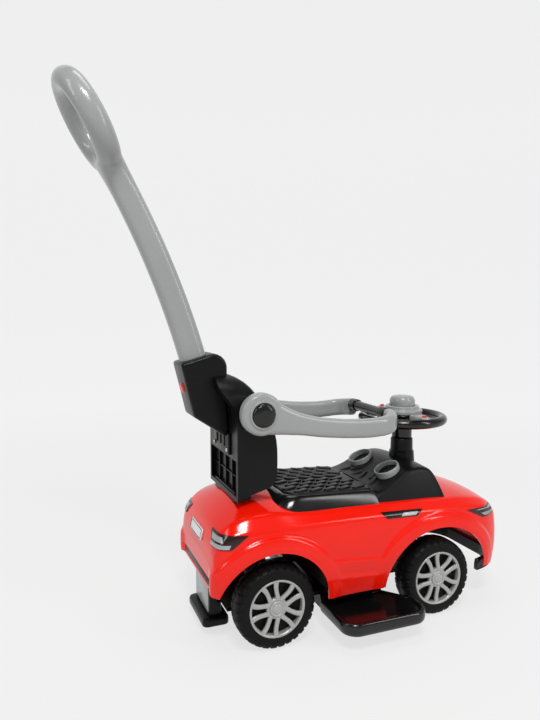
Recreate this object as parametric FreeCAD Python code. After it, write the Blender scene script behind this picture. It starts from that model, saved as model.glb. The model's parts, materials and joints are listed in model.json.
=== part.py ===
import FreeCAD, Part
import math
import os

from FreeCAD import Vector

os.makedirs("parts", exist_ok=True)

# All lengths are millimetres. X runs forward from the rear axle, Y to the left, Z up from the ground.

# Fits shared by all pieces
running_gap = 0.05
seat_gap = 0.3
cut_overrun = 30.0
coincidence = 0.0001

# Wheels
wheelbase = 323.0
wheel_track = 230.0
tyre_diameter = 144.0
tyre_width = 46.0
tyre_shoulder = 10.0
tread_depth = 3.5
tread_groove = 4.0
tread_reach = 13.0
tread_count = 30
rim_diameter = 100.0
rim_wall = 4.0
rim_face_thickness = 6.0
rim_face_inset = 3.0
rim_hub_diameter = 32.0
rim_window_inner_radius = 19.0
spoke_pairs = 5
petal_window_share = 0.46
narrow_window_share = 0.30
hub_cap_diameter = 28.0
hub_cap_height = 4.0
hub_cap_skirt = 3.0
axle_diameter = 10.0
axle_end_inset = 6.0
washer_diameter = 22.0

# Body shell
body_rear_overhang = 104.0
body_length = 604.0
body_half_width = 134.0
deck_height = 246.0
waist_height = 203.0
sill_height = 72.0
body_wall = 3.0
rear_arch_half_span = 98.0
rear_arch_rise = 95.0
front_arch_shift = 4.0
front_arch_half_span = 114.0
front_arch_rise = 96.0
flare_band = 28.0
flare_rise = 5.0

# Stations along the shell: place, half width, top, waist and lower edge as shares of the sizes above
body_station_shares = (
    (0.000, 0.760, 0.610, 0.680, 1.420),
    (0.007, 0.843, 0.756, 0.837, 1.375),
    (0.020, 0.890, 0.837, 0.916, 1.347),
    (0.042, 0.925, 0.900, 0.966, 1.320),
    (0.085, 0.963, 0.970, 0.995, 1.250),
    (0.160, 0.993, 1.000, 1.000, 1.110),
    (0.270, 1.000, 0.965, 1.000, 1.000),
    (0.440, 1.000, 0.945, 1.000, 1.000),
    (0.600, 1.000, 0.927, 0.995, 1.000),
    (0.735, 0.993, 0.915, 0.985, 0.985),
    (0.853, 0.955, 0.890, 0.960, 0.985),
    (0.925, 0.880, 0.841, 0.910, 1.000),
    (0.967, 0.780, 0.780, 0.840, 1.010),
    (0.990, 0.640, 0.705, 0.749, 1.030),
    (1.000, 0.480, 0.620, 0.650, 1.080),
)
side_rise_share = 0.52
side_waist_width_share = 0.95
deck_edge_width_share = 0.82
deck_edge_rise_share = 0.55
sill_width_share = 0.94

# Chassis
chassis_height = 56.0
chassis_thickness = 6.0
chassis_rear_x = -72.0
chassis_rear_half_width = 84.0
chassis_step_x = 236.0
chassis_front_half_width = 54.0
chassis_front_x = 430.0
axle_block_length = 28.0
axle_block_width = 18.0
axle_block_height = 34.0
sill_flange_rear_x = 108.0
sill_flange_front_x = 208.0
sill_flange_rise = 12.0
foot_channel_rear_x = 104.0
foot_channel_front_x = 218.0
foot_channel_wall = 3.0
foot_channel_depth = 25.0
foot_channel_half_width = 95.0
lip_depth = 11.0
lip_thickness = 8.0
lip_rear_x = 432.0
lip_overlap = 10.0

# Anti tip foot
foot_half_width = 55.0
foot_post_half_width = 47.0
foot_ground_gap = 17.0
foot_base_rear_x = -106.0
foot_base_front_x = -58.0
foot_base_thickness = 15.0
foot_post_rear_x = -93.0
foot_post_top = 108.0
foot_plate_margin = 6.0
foot_plate_thickness = 1.0

# Seat, tray and console
seat_rear_x = 4.0
seat_front_x = 214.0
seat_frame_low_half_width = 109.0
seat_frame_top_half_width = 95.0
seat_frame_corner = 42.0
seat_frame_base = 214.0
seat_top_rear = 249.0
seat_top_front = 240.0
lid_rear_x = 40.0
lid_front_x = 207.0
lid_half_width = 87.0
lid_corner = 26.0
lid_thickness = 10.0
lid_proud = 2.0
lid_side_gap = 1.5
lid_hinge_x = 210.5
lid_hinge_height = 238.0
lid_pin_diameter = 4.0
lid_lug_radius = 3.5
lid_lug_inner_y = 40.0
lid_lug_outer_y = 58.0
frame_ear_thickness = 5.0
ledge_height = 222.0
ledge_thickness = 6.0
body_hole_rear_x = 30.0
body_hole_front_x = 212.0
body_hole_half_width = 84.0
tray_rear_x = 50.0
tray_front_x = 192.0
tray_half_width = 68.0
tray_floor = 118.0
tray_wall = 2.5
tray_flange = 7.0
console_front_x = 362.0
console_base = 196.0
console_rear_height = 238.0
console_brow_x = 290.0
console_top = 272.0
console_crest_x = 330.0
console_low_half_width = 108.0
console_top_half_width = 90.0
console_edge_radius = 14.0
dial_x = 264.0
dial_y = 51.0
dial_height = 259.0
dial_diameter = 50.0
dial_wall = 5.0
dial_depth = 16.0
dial_ring_length = 24.0
dial_face_thickness = 3.0
dial_tilt = 24.0

# Steering
steer_offset = 5.0
steering_lock = 25.0
collar_diameter = 44.0
collar_top = 312.0
boss_diameter = 40.0
steering_rod_diameter = 12.0
steer_arm = 30.0
kingpin_y = 80.0
kingpin_diameter = 8.0
knuckle_radius = 9.0
knuckle_height = 38.0
knuckle_shoulder_diameter = 16.0
bridge_thickness = 4.0
bridge_length = 20.0
bridge_leg_y = 42.0
bridge_leg_thickness = 5.0
arm_width = 12.0
arm_thickness = 5.0
arm_rise = 14.0
link_pin_diameter = 6.0
link_pin_height = 7.0
tie_rod_thickness = 4.0
tie_rod_width = 20.0
tie_rod_end = 7.0
tie_slot_length = 13.0
tie_slot_width = 7.6
crank_lift = 3.0
crank_thickness = 5.0
wheel_rim_radius = 79.0
wheel_rim_tube = 19.0
wheel_rim_height = 352.0
hub_core_radius = 38.0
hub_core_bottom = 344.0
hub_flange_diameter = 80.0
hub_flange_bottom = 362.0
hub_flange_thickness = 9.0
hub_step_diameter = 68.0
hub_step_height = 7.0
horn_diameter = 51.0
horn_height = 18.5
horn_edge = 9.0
horn_well_floor = 3.0
horn_travel = 3.0
horn_spring_wall = 2.0
horn_spring_diameter = 22.0
sound_module_diameter = 40.0
sound_module_height = 11.0
spoke_half_width = 15.0
spoke_thickness = 12.0
insert_inner_y = 44.0
insert_outer_y = 86.0
insert_half_width = 14.0
insert_corner = 8.0
insert_thickness = 4.0
wheel_button_y = 76.0
wheel_button_diameter = 9.0
wheel_button_height = 2.5
wheel_button_travel = 1.2

# Backrest and socket
back_rear_x = -52.0
back_bottom = 243.0
back_half_width = 85.0
back_front_x = 31.0
back_top = 434.0
back_crown_share = 0.4
back_side_shares = (
    (0.00, 0.00, 0.0),
    (0.45, 0.07, 0.5),
    (1.00, 0.16, 0.2),
    (1.00, 0.50, 1.0),
    (0.61, 1.00, 0.3),
    (0.00, 1.00, 0.0),
)
back_hollow_radius = 112.0
back_hollow_depth_x = -16.0
back_pocket_wall = 7.0
back_pocket_depth = 20.0
back_pocket_top = 312.0
back_rib = 3.0
back_rib_count = 3
back_foot_length = 34.0
back_foot_half_width = 62.0
back_foot_rise = 13.0
socket_half_width = 35.0
socket_corner = 12.0
handle_lean = 16.0
socket_mouth_x = -107.0
socket_mouth_height = 487.0
socket_rear_reach = 29.5
socket_front_reach = 48.0
socket_low_height = 345.0
socket_low_rear_x = -111.0
socket_low_rear_height = 385.0
socket_depth = 95.0
socket_stem_gap = 0.4
flange_half_width = 46.0
flange_low = 318.0
flange_thickness = 4.0
screw_head_diameter = 8.0
screw_head_height = 2.5

# Push handle
stem_depth = 47.0
stem_width = 38.0
stem_bend_radius = 1500.0
stem_bend_angle = 13.1
loop_length = 134.0
loop_width = 132.0
loop_tube = 41.0
loop_sink = 10.0
button_diameter = 21.0
button_below_mouth = 46.0
button_proud = 5.0
button_wall = 2.0
button_travel = 2.0
button_clearance = 1.6
button_spring_diameter = 9.0

# Guard
guard_pivot_x = -18.0
guard_pivot_height = 398.0
guard_reach = 280.0
guard_drop = 52.0
guard_outer_y = 119.0
guard_thickness = 22.0
guard_corner = 50.0
guard_drum_diameter = 72.0
guard_ring_diameter = 48.0
guard_ring_height = 2.5
guard_end_y = 65.0
guard_bar_diameter = 19.0
guard_bar_height = 374.0
pivot_pin_diameter = 14.0
pivot_boss_diameter = 60.0
pivot_cap_diameter = 40.0
pivot_cap_height = 8.0
pivot_cap_edge = 5.0
guard_side_shares = (
    (0.00, -0.68),
    (0.26, -0.77),
    (0.56, -1.00),
    (0.75, -1.08),
    (1.00, -0.96),
    (1.00, -0.25),
    (0.78, -0.37),
    (0.56, -0.37),
    (0.26, -0.08),
    (0.08, 0.45),
    (0.00, 0.45),
)

# Footrests
footrest_rear_x = 97.0
footrest_front_x = 261.0
footrest_inner_y = 98.0
footrest_outer_y = 203.0
footrest_bottom = 31.0
footrest_thickness = 22.0
footrest_corner = 28.0
footrest_rim = 6.0
footrest_well = 4.0
footrest_notch_x = 219.0
footrest_notch_y = 148.0
tongue_length = 76.0
tongue_side_gap = 2.0

# Trim on the shell
trim_thickness = 0.9
trim_gap = 0.1
grille_thickness = 1.4
plate_width = 71.0
plate_height = 20.0
plate_middle = 178.0
plate_thickness = 1.5
trim_inner_y = 62.0
tail_lamp_rear_x = -108.0
tail_lamp_length = 61.0
tail_lamp_low = 178.0
tail_lamp_height = 30.0
tail_lamp_shares = ((0.0, 1.0), (1.0, 0.75), (0.74, 0.12), (0.55, 0.0), (0.0, 0.1))
headlamp_rear_x = 392.0
headlamp_length = 84.0
headlamp_low = 168.0
headlamp_height = 22.0
headlamp_shares = ((0.0, 1.0), (0.5, 0.95), (1.0, 0.95), (1.0, 0.18), (0.5, 0.0))
vent_rear_x = 205.0
vent_length = 86.0
vent_low = 196.0
vent_height = 12.0
vent_shares = ((0.0, 1.0), (1.0, 0.8), (0.85, 0.1), (0.12, 0.0))
grille_half_width = 52.0
grille_low = 112.0
grille_height = 30.0
grille_depth = 30.0

# Places worked out from the sizes
axle_height = tyre_diameter / 2
wheel_y = wheel_track / 2
tyre_inner_y = wheel_y - tyre_width / 2
tyre_outer_y = wheel_y + tyre_width / 2
body_rear_x = -body_rear_overhang
body_front_x = body_rear_x + body_length
front_arch_x = wheelbase + front_arch_shift
chassis_top = chassis_height + chassis_thickness
steer_x = wheelbase + steer_offset
link_x = wheelbase - steer_arm
crank_pin_x = steer_x - steer_arm
knuckle_base = chassis_top + seat_gap
knuckle_top = knuckle_base + knuckle_height
bridge_base = knuckle_top + seat_gap
arm_base = chassis_top + arm_rise
tie_base = arm_base + arm_thickness + seat_gap
crank_base = tie_base + tie_rod_thickness + crank_lift
guard_inner_y = guard_outer_y - guard_thickness
hub_top = hub_flange_bottom + hub_flange_thickness + hub_step_height
lean = math.radians(handle_lean)
stem_up = Vector(-math.sin(lean), 0, math.cos(lean))
stem_forward = Vector(math.cos(lean), 0, math.sin(lean))
socket_mouth = Vector(socket_mouth_x, 0, socket_mouth_height)
Y_AXIS = Vector(0, 1, 0)
Z_AXIS = Vector(0, 0, 1)


def rounded_wire(corners, place):
    """Closed wire through corners (u, v, radius), each corner rounded by its own radius."""
    edges = []
    spans = []
    for index, (u, v, radius) in enumerate(corners):
        here = Vector(u, v, 0)
        before = Vector(*corners[index - 1][:2], 0) - here
        after = Vector(*corners[(index + 1) % len(corners)][:2], 0) - here
        if radius == 0:
            spans.append((here, here, here))
            continue
        half = before.getAngle(after) / 2
        before.normalize()
        after.normalize()
        middle = (before + after).normalize()
        reach = radius / math.tan(half)
        depth = radius / math.sin(half) - radius
        spans.append((here + before * reach, here + middle * depth, here + after * reach))
    for index, (start, middle, end) in enumerate(spans):
        if start != end:
            edges.append(Part.Arc(place(start), place(middle), place(end)).toShape())
        following = spans[(index + 1) % len(spans)][0]
        if not end.isEqual(following, coincidence):
            edges.append(Part.LineSegment(place(end), place(following)).toShape())
    return Part.Wire(edges)


def prism_x(corners, start, end):
    """Prism of a (y, z) outline from one x to another."""
    wire = rounded_wire(corners, lambda p: Vector(start, p.x, p.y))
    return Part.Face(wire).extrude(Vector(end - start, 0, 0))


def prism_y(corners, start, end):
    """Prism of an (x, z) outline from one y to another."""
    wire = rounded_wire(corners, lambda p: Vector(p.x, start, p.y))
    return Part.Face(wire).extrude(Vector(0, end - start, 0))


def prism_z(corners, start, end):
    """Prism of an (x, y) outline from one height to another."""
    wire = rounded_wire(corners, lambda p: Vector(p.x, p.y, start))
    return Part.Face(wire).extrude(Vector(0, 0, end - start))


def block(x0, x1, y0, y1, z0, z1):
    """Box between two corners."""
    return Part.makeBox(x1 - x0, y1 - y0, z1 - z0, Vector(x0, y0, z0))


def wide_block(x0, x1, half_width, z0, z1):
    """Box across the middle of the car."""
    return block(x0, x1, -half_width, half_width, z0, z1)


def rod(start, end, diameter):
    """Round bar between two points."""
    along = end - start
    return Part.makeCylinder(diameter / 2, along.Length, start, along)


def post(x, y, z0, z1, diameter):
    """Upright round bar."""
    return rod(Vector(x, y, z0), Vector(x, y, z1), diameter)


def cross_rod(x, z, y0, y1, diameter):
    """Round bar along Y."""
    return rod(Vector(x, y0, z), Vector(x, y1, z), diameter)


def mirrored(shape):
    """The same piece on the other side of the car."""
    return shape.mirror(Vector(0, 0, 0), Y_AXIS)


def pair(shape):
    """A left piece with its right twin, as two solids."""
    return Part.makeCompound([shape, mirrored(shape)])


def dome(centre, direction, diameter, height, edge):
    """Low round cap with a rounded upper edge."""
    cap = Part.makeCylinder(diameter / 2, height, centre, direction)
    rim = [e for e in cap.Edges if abs((e.CenterOfMass - centre).dot(direction) - height) < edge / 2]
    return cap.makeFillet(edge, [e for e in rim if len(e.Vertexes) == 1])


# Wheels, made once at the origin with the outer side towards +Y
def make_tyre():
    """Hollow tyre ring with rounded shoulders and grooved tread blocks."""
    half = tyre_width / 2
    outer = tyre_diameter / 2
    inner = rim_diameter / 2
    corners = (
        (-half, inner, 0),
        (half, inner, 0),
        (half, outer, tyre_shoulder),
        (-half, outer, tyre_shoulder),
    )
    wire = rounded_wire(corners, lambda p: Vector(0, p.x, p.y))
    ring = Part.Face(wire).revolve(Vector(0, 0, 0), Y_AXIS, 360)
    grooves = []
    for index in range(tread_count):
        for side in (-1, 1):
            groove = block(-tread_groove / 2, tread_groove / 2, half - tread_reach, half + cut_overrun,
                           outer - tread_depth, outer + cut_overrun)
            groove = groove if side > 0 else mirrored(groove)
            turn = 360 / tread_count * (index + (side + 1) / 4)
            grooves.append(groove.rotate(Vector(0, 0, 0), Y_AXIS, turn))
    return ring.cut(Part.makeCompound(grooves))


def make_rim():
    """Rim band, spoked face and hub, bored for the axle."""
    half = tyre_width / 2
    outer = rim_diameter / 2
    inner = outer - rim_wall
    face_y = half - rim_face_inset
    band = Part.makeCylinder(outer, tyre_width, Vector(0, -half, 0), Y_AXIS)
    band = band.cut(Part.makeCylinder(inner, tyre_width, Vector(0, -half, 0), Y_AXIS))
    face = Part.makeCylinder(inner, rim_face_thickness, Vector(0, face_y - rim_face_thickness, 0), Y_AXIS)
    window_outer = inner - rim_wall / 2
    reach = window_outer - rim_window_inner_radius
    wide = reach * petal_window_share
    narrow = reach * narrow_window_share
    petal = (
        (rim_window_inner_radius, -narrow / 2, narrow / 3),
        (window_outer, -wide, wide / 2),
        (window_outer, wide, wide / 2),
        (rim_window_inner_radius, narrow / 2, narrow / 3),
    )
    sliver = (
        (rim_window_inner_radius + reach / 3, 0, 0),
        (window_outer, -narrow, narrow / 3),
        (window_outer, narrow, narrow / 3),
    )
    for index in range(spoke_pairs):
        step = 360 / spoke_pairs
        for outline, turn in ((petal, index * step), (sliver, (index + 0.5) * step)):
            window = prism_y(outline, 0, half + cut_overrun)
            face = face.cut(window.rotate(Vector(0, 0, 0), Y_AXIS, turn))
    hub = Part.makeCylinder(rim_hub_diameter / 2, tyre_width - rim_face_inset, Vector(0, -half, 0), Y_AXIS)
    rim = band.fuse(face).fuse(hub).removeSplitter()
    bore = axle_diameter / 2 + running_gap
    return rim.cut(Part.makeCylinder(bore, tyre_width, Vector(0, -half, 0), Y_AXIS))


def make_hub_cap():
    """Cap that snaps over the hub, with a short skirt round the axle end."""
    face_y = tyre_width / 2 - rim_face_inset
    return dome(Vector(0, face_y, 0), Y_AXIS, hub_cap_diameter, hub_cap_height, hub_cap_skirt / 2)


def make_wheels():
    """All twelve wheel pieces, named by corner."""
    pieces = {}
    makers = (("tyre", make_tyre()), ("rim", make_rim()), ("hub_cap", make_hub_cap()))
    for corner, x in (("rear", 0.0), ("front", wheelbase)):
        for name, shape in makers:
            left = shape.copy()
            left.translate(Vector(x, wheel_y, axle_height))
            pieces[f"{name}_{corner}_left"] = left
            pieces[f"{name}_{corner}_right"] = mirrored(left)
    return pieces


# Shell of the body
def body_section(shares, grow, drop):
    """One cross section of the shell, grown outwards and let down below its lower edge."""
    x_share, width_share, top_share, waist_share, low_share = shares
    middle = body_rear_x + body_length / 2
    x = middle + (x_share - 0.5) * (body_length + 2 * grow)
    half = body_half_width * width_share + grow
    top = deck_height * top_share + grow
    waist = waist_height * waist_share
    low = sill_height * low_share
    side_z = low + (waist - low) * side_rise_share
    waist_y = half * side_waist_width_share
    deck_y = half * deck_edge_width_share
    deck_z = waist + (top - waist) * deck_edge_rise_share
    low_y = half * sill_width_share
    left = [Vector(x, low_y, low), Vector(x, half, side_z), Vector(x, waist_y, waist)]
    right = [Vector(x, -p.y, p.z) for p in left]
    edges = [
        Part.Arc(*left).toShape(),
        Part.LineSegment(left[2], Vector(x, deck_y, deck_z)).toShape(),
        Part.Arc(Vector(x, deck_y, deck_z), Vector(x, 0, top), Vector(x, -deck_y, deck_z)).toShape(),
        Part.LineSegment(Vector(x, -deck_y, deck_z), right[2]).toShape(),
        Part.Arc(*reversed(right)).toShape(),
    ]
    if drop:
        low_left = Vector(x, low_y, low - drop)
        low_right = Vector(x, -low_y, low - drop)
        edges.append(Part.LineSegment(right[0], low_right).toShape())
        edges.append(Part.LineSegment(low_right, low_left).toShape())
        edges.append(Part.LineSegment(low_left, left[0]).toShape())
    else:
        edges.append(Part.LineSegment(right[0], left[0]).toShape())
    return Part.Wire(edges)


def body_form(grow, drop=0):
    """Solid form of the whole shell, grown by a distance."""
    return Part.makeLoft([body_section(s, grow, drop) for s in body_station_shares], True, False)


def arch_prism(centre_x, half_span, rise, half_width):
    """Elliptic prism across the car, centred on a wheel's height."""
    centre = Vector(centre_x, -half_width, axle_height)
    ellipse = Part.Ellipse(centre + Vector(half_span, 0, 0), centre + Vector(0, 0, rise), centre)
    return Part.Face(Part.Wire(ellipse.toShape())).extrude(Vector(0, 2 * half_width, 0))


def make_body_shell(outer):
    """Hollow red shell with flared arches, the seat opening and the steering hole."""
    reach = body_half_width + cut_overrun
    arches = (
        (0.0, rear_arch_half_span, rear_arch_rise),
        (front_arch_x, front_arch_half_span, front_arch_rise),
    )
    shell = outer
    swollen = body_form(flare_rise)
    for x, span, rise in arches:
        shell = shell.fuse(swollen.common(arch_prism(x, span + flare_band, rise + flare_band, reach)))
    shell = shell.cut(body_form(-body_wall, cut_overrun))
    for x, span, rise in arches:
        shell = shell.cut(arch_prism(x, span, rise, reach))
    shell = shell.cut(wide_block(body_hole_rear_x, body_hole_front_x, body_hole_half_width,
                                 waist_height, deck_height + cut_overrun))
    hole = boss_diameter
    shell = shell.cut(post(steer_x, 0, waist_height, deck_height + cut_overrun, hole))
    return shell


def shell_trim(shares, rear_x, length, low, height, skin, shell):
    """Thin lamp or vent that follows the shell on both sides."""
    corners = [(rear_x + length * u, low + height * v, 0) for u, v in shares]
    return pair(prism_y(corners, trim_inner_y, body_half_width + cut_overrun).common(skin).cut(shell))


def make_trim(shell):
    """Lamps, vents, grille and number plate on the shell."""
    under = body_form(trim_gap)
    skin = body_form(trim_thickness).cut(under)
    grille_skin = body_form(grille_thickness).cut(under)
    grille_box = wide_block(body_front_x - grille_depth, body_front_x + cut_overrun, grille_half_width,
                            grille_low, grille_low + grille_height)
    plate_low = plate_middle - plate_height / 2
    plate = wide_block(body_rear_x - plate_thickness, body_rear_x + plate_height, plate_width / 2,
                       plate_low, plate_low + plate_height)
    return {
        "tail_lamps": shell_trim(tail_lamp_shares, tail_lamp_rear_x, tail_lamp_length,
                                 tail_lamp_low, tail_lamp_height, skin, shell),
        "headlamps": shell_trim(headlamp_shares, headlamp_rear_x, headlamp_length,
                                headlamp_low, headlamp_height, skin, shell),
        "side_vents": shell_trim(vent_shares, vent_rear_x, vent_length, vent_low, vent_height, skin, shell),
        "grille": grille_box.common(grille_skin),
        "number_plate": plate.common(body_form(plate_thickness)).cut(under),
    }


# Chassis
def make_chassis():
    """Floor of the car with axle blocks, kingpin beam, sill flanges and footrest channel."""
    floor = wide_block(chassis_rear_x, chassis_step_x, chassis_rear_half_width, chassis_height, chassis_top)
    nose = wide_block(chassis_step_x, chassis_front_x, chassis_front_half_width, chassis_height, chassis_top)
    beam = wide_block(wheelbase - knuckle_radius, wheelbase + knuckle_radius, kingpin_y,
                      chassis_height, chassis_top)
    tray = floor.fuse(nose).fuse(beam)
    inner_side = body_half_width * sill_width_share - body_wall - seat_gap
    tray = tray.fuse(wide_block(sill_flange_rear_x, sill_flange_front_x, inner_side,
                                chassis_top, chassis_top + sill_flange_rise))
    channel_low = chassis_height - foot_channel_depth
    channel = wide_block(foot_channel_rear_x, foot_channel_front_x, foot_channel_half_width,
                         channel_low, chassis_height)
    hollow = block(foot_channel_rear_x + foot_channel_wall, foot_channel_front_x - foot_channel_wall,
                   foot_channel_wall, foot_channel_half_width + cut_overrun,
                   channel_low + foot_channel_wall, chassis_height - foot_channel_wall)
    tray = tray.fuse(channel.cut(hollow).cut(mirrored(hollow)))
    for side in (-1, 1):
        outer_y = side * chassis_rear_half_width
        inner_y = side * (chassis_rear_half_width - axle_block_width)
        low_y, high_y = sorted((outer_y, inner_y))
        tray = tray.fuse(block(-axle_block_length / 2, axle_block_length / 2, low_y, high_y,
                               chassis_top, chassis_height + axle_block_height))
        tray = tray.fuse(post(wheelbase, side * kingpin_y, chassis_height, chassis_top, 2 * knuckle_radius))
    tray = tray.cut(cross_rod(0, axle_height, -wheel_y, wheel_y, axle_diameter + 2 * running_gap))
    for side in (-1, 1):
        tray = tray.cut(post(wheelbase, side * kingpin_y, 0, chassis_top + cut_overrun,
                             kingpin_diameter + 2 * running_gap))
    return tray.removeSplitter()


def make_front_lip():
    """Black lip that shows below the nose, inside the shell's lower edge."""
    low = sill_height * min(s[4] for s in body_station_shares) - lip_depth
    slab = wide_block(lip_rear_x, body_front_x, body_half_width, low, low + lip_depth + lip_overlap)
    band = body_form(-body_wall - seat_gap, cut_overrun)
    band = band.cut(body_form(-body_wall - seat_gap - lip_thickness, 2 * cut_overrun))
    return band.common(slab)


def make_foot():
    """Rear foot that stops the car from tipping, with its plate."""
    base = prism_z(
        (
            (foot_base_rear_x, -foot_half_width, foot_base_thickness / 2),
            (foot_base_front_x, -foot_half_width, foot_base_thickness / 2),
            (foot_base_front_x, foot_half_width, foot_base_thickness / 2),
            (foot_base_rear_x, foot_half_width, foot_base_thickness / 2),
        ),
        foot_ground_gap,
        foot_ground_gap + foot_base_thickness,
    )
    post_low = foot_ground_gap + foot_base_thickness
    upright = wide_block(foot_post_rear_x, chassis_rear_x, foot_post_half_width, post_low, foot_post_top)
    foot = base.fuse(upright).removeSplitter()
    plate_half = foot_post_half_width - foot_plate_margin
    plate = wide_block(foot_post_rear_x - foot_plate_thickness, foot_post_rear_x, plate_half,
                       post_low + foot_plate_margin, foot_post_top - foot_plate_margin)
    return {"anti_tip_foot": foot, "anti_tip_plate": plate}


def make_rear_axle():
    """Steel rear axle between the two wheels."""
    end = tyre_outer_y - axle_end_inset
    return cross_rod(0, axle_height, -end, end, axle_diameter)


def make_washers():
    """Washers that space the wheels off the chassis and the knuckles."""
    ring_bore = axle_diameter + 2 * running_gap
    rear = cross_rod(0, axle_height, chassis_rear_half_width, tyre_inner_y - seat_gap, washer_diameter)
    rear = rear.cut(cross_rod(0, axle_height, 0, wheel_y, ring_bore))
    return pair(rear)


# Seat and console
def seat_line(x, below=0.0):
    """Height of the sloping seat plane at a place along the car, less a depth."""
    share = (x - seat_rear_x) / (seat_front_x - seat_rear_x)
    return seat_top_rear + (seat_top_front - seat_top_rear) * share - below


def seat_plan(grow):
    """Outline of the lid, grown for the pocket round it."""
    half = lid_half_width + grow
    return (
        (lid_rear_x - grow, -half, lid_corner),
        (lid_front_x + grow, -half, lid_corner / 3),
        (lid_front_x + grow, half, lid_corner / 3),
        (lid_rear_x - grow, half, lid_corner),
    )


def make_seat_frame(clear_body):
    """Glossy skirt round the seat, with the ledge that carries the tray and the lid."""
    plan = prism_z(
        (
            (seat_rear_x, -seat_frame_low_half_width, seat_frame_corner),
            (seat_front_x, -seat_frame_low_half_width, 0),
            (seat_front_x, seat_frame_low_half_width, 0),
            (seat_rear_x, seat_frame_low_half_width, seat_frame_corner),
        ),
        seat_frame_base,
        seat_top_rear + cut_overrun,
    )
    slope = prism_y(
        (
            (seat_rear_x, seat_frame_base, 0),
            (seat_front_x, seat_frame_base, 0),
            (seat_front_x, seat_line(seat_front_x), 0),
            (seat_rear_x, seat_line(seat_rear_x), 0),
        ),
        -seat_frame_low_half_width,
        seat_frame_low_half_width,
    )
    across = prism_x(
        (
            (-seat_frame_low_half_width, seat_frame_base, 0),
            (seat_frame_low_half_width, seat_frame_base, 0),
            (seat_frame_top_half_width, seat_top_rear, 0),
            (-seat_frame_top_half_width, seat_top_rear, 0),
        ),
        seat_rear_x,
        seat_front_x,
    )
    frame = plan.common(slope).common(across).cut(clear_body)
    ledge_top = ledge_height + ledge_thickness
    ledge = wide_block(body_hole_rear_x + seat_gap, body_hole_front_x - seat_gap,
                       body_hole_half_width - seat_gap, ledge_height, seat_top_rear)
    frame = frame.fuse(ledge.common(slope))
    pocket = prism_z(seat_plan(lid_side_gap), ledge_top, seat_top_rear + cut_overrun)
    lugs = block(lid_hinge_x - 2 * lid_lug_radius, seat_front_x, lid_lug_inner_y - lid_side_gap,
                 lid_lug_outer_y + lid_side_gap, ledge_top, seat_top_rear + cut_overrun)
    frame = frame.cut(pocket).cut(lugs).cut(mirrored(lugs))
    frame = frame.cut(wide_block(tray_rear_x - seat_gap, tray_front_x + seat_gap, tray_half_width + seat_gap,
                                 0, seat_top_rear))
    pin_half = lid_lug_outer_y + lid_side_gap + frame_ear_thickness
    frame = frame.cut(cross_rod(lid_hinge_x, lid_hinge_height, -pin_half, pin_half,
                                lid_pin_diameter + 2 * running_gap))
    return frame.removeSplitter()


def make_seat_lid():
    """Seat that lifts at its rear edge, with two hinge lugs at the front."""
    plan = prism_z(seat_plan(0.0), ledge_height, seat_top_rear + cut_overrun)
    slope = prism_y(
        (
            (lid_rear_x, seat_line(lid_rear_x, lid_thickness), 0),
            (lid_front_x, seat_line(lid_front_x, lid_thickness), 0),
            (lid_front_x, seat_line(lid_front_x, -lid_proud), 0),
            (lid_rear_x, seat_line(lid_rear_x, -lid_proud), 0),
        ),
        -lid_half_width,
        lid_half_width,
    )
    lid = plan.common(slope)
    for side in (-1, 1):
        low_y, high_y = sorted((side * lid_lug_inner_y, side * lid_lug_outer_y))
        arm = block(lid_hinge_x - 3 * lid_lug_radius, lid_hinge_x, low_y, high_y,
                    lid_hinge_height - lid_lug_radius / 2, lid_hinge_height + lid_lug_radius)
        lid = lid.fuse(arm).fuse(cross_rod(lid_hinge_x, lid_hinge_height, low_y, high_y, 2 * lid_lug_radius))
    bore = lid_pin_diameter + 2 * running_gap
    lid = lid.cut(cross_rod(lid_hinge_x, lid_hinge_height, -lid_half_width, lid_half_width, bore))
    return lid.removeSplitter()


def make_lid_pins():
    """Two short hinge pins of the lid."""
    pin_half = lid_lug_outer_y + lid_side_gap + frame_ear_thickness
    start = lid_lug_inner_y - lid_side_gap - frame_ear_thickness
    return pair(cross_rod(lid_hinge_x, lid_hinge_height, start, pin_half, lid_pin_diameter))


def make_storage_tray():
    """Open box under the lid, hung by its flange on the ledge."""
    flange_low = ledge_height + ledge_thickness
    outside = wide_block(tray_rear_x, tray_front_x, tray_half_width, tray_floor, flange_low + tray_wall)
    flange = wide_block(tray_rear_x - tray_flange, tray_front_x + tray_flange, tray_half_width + tray_flange,
                        flange_low, flange_low + tray_wall)
    inside = wide_block(tray_rear_x + tray_wall, tray_front_x - tray_wall, tray_half_width - tray_wall,
                        tray_floor + tray_wall, deck_height)
    return outside.fuse(flange).cut(inside).removeSplitter()


def dial_axis():
    """Direction that the dials face: up and back, towards the rider."""
    tilt = math.radians(dial_tilt)
    return Vector(-math.sin(tilt), 0, math.cos(tilt))


def dial_base(below):
    """Centre of the left dial, moved down its axis."""
    return Vector(dial_x, dial_y, dial_height) - dial_axis() * below


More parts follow.
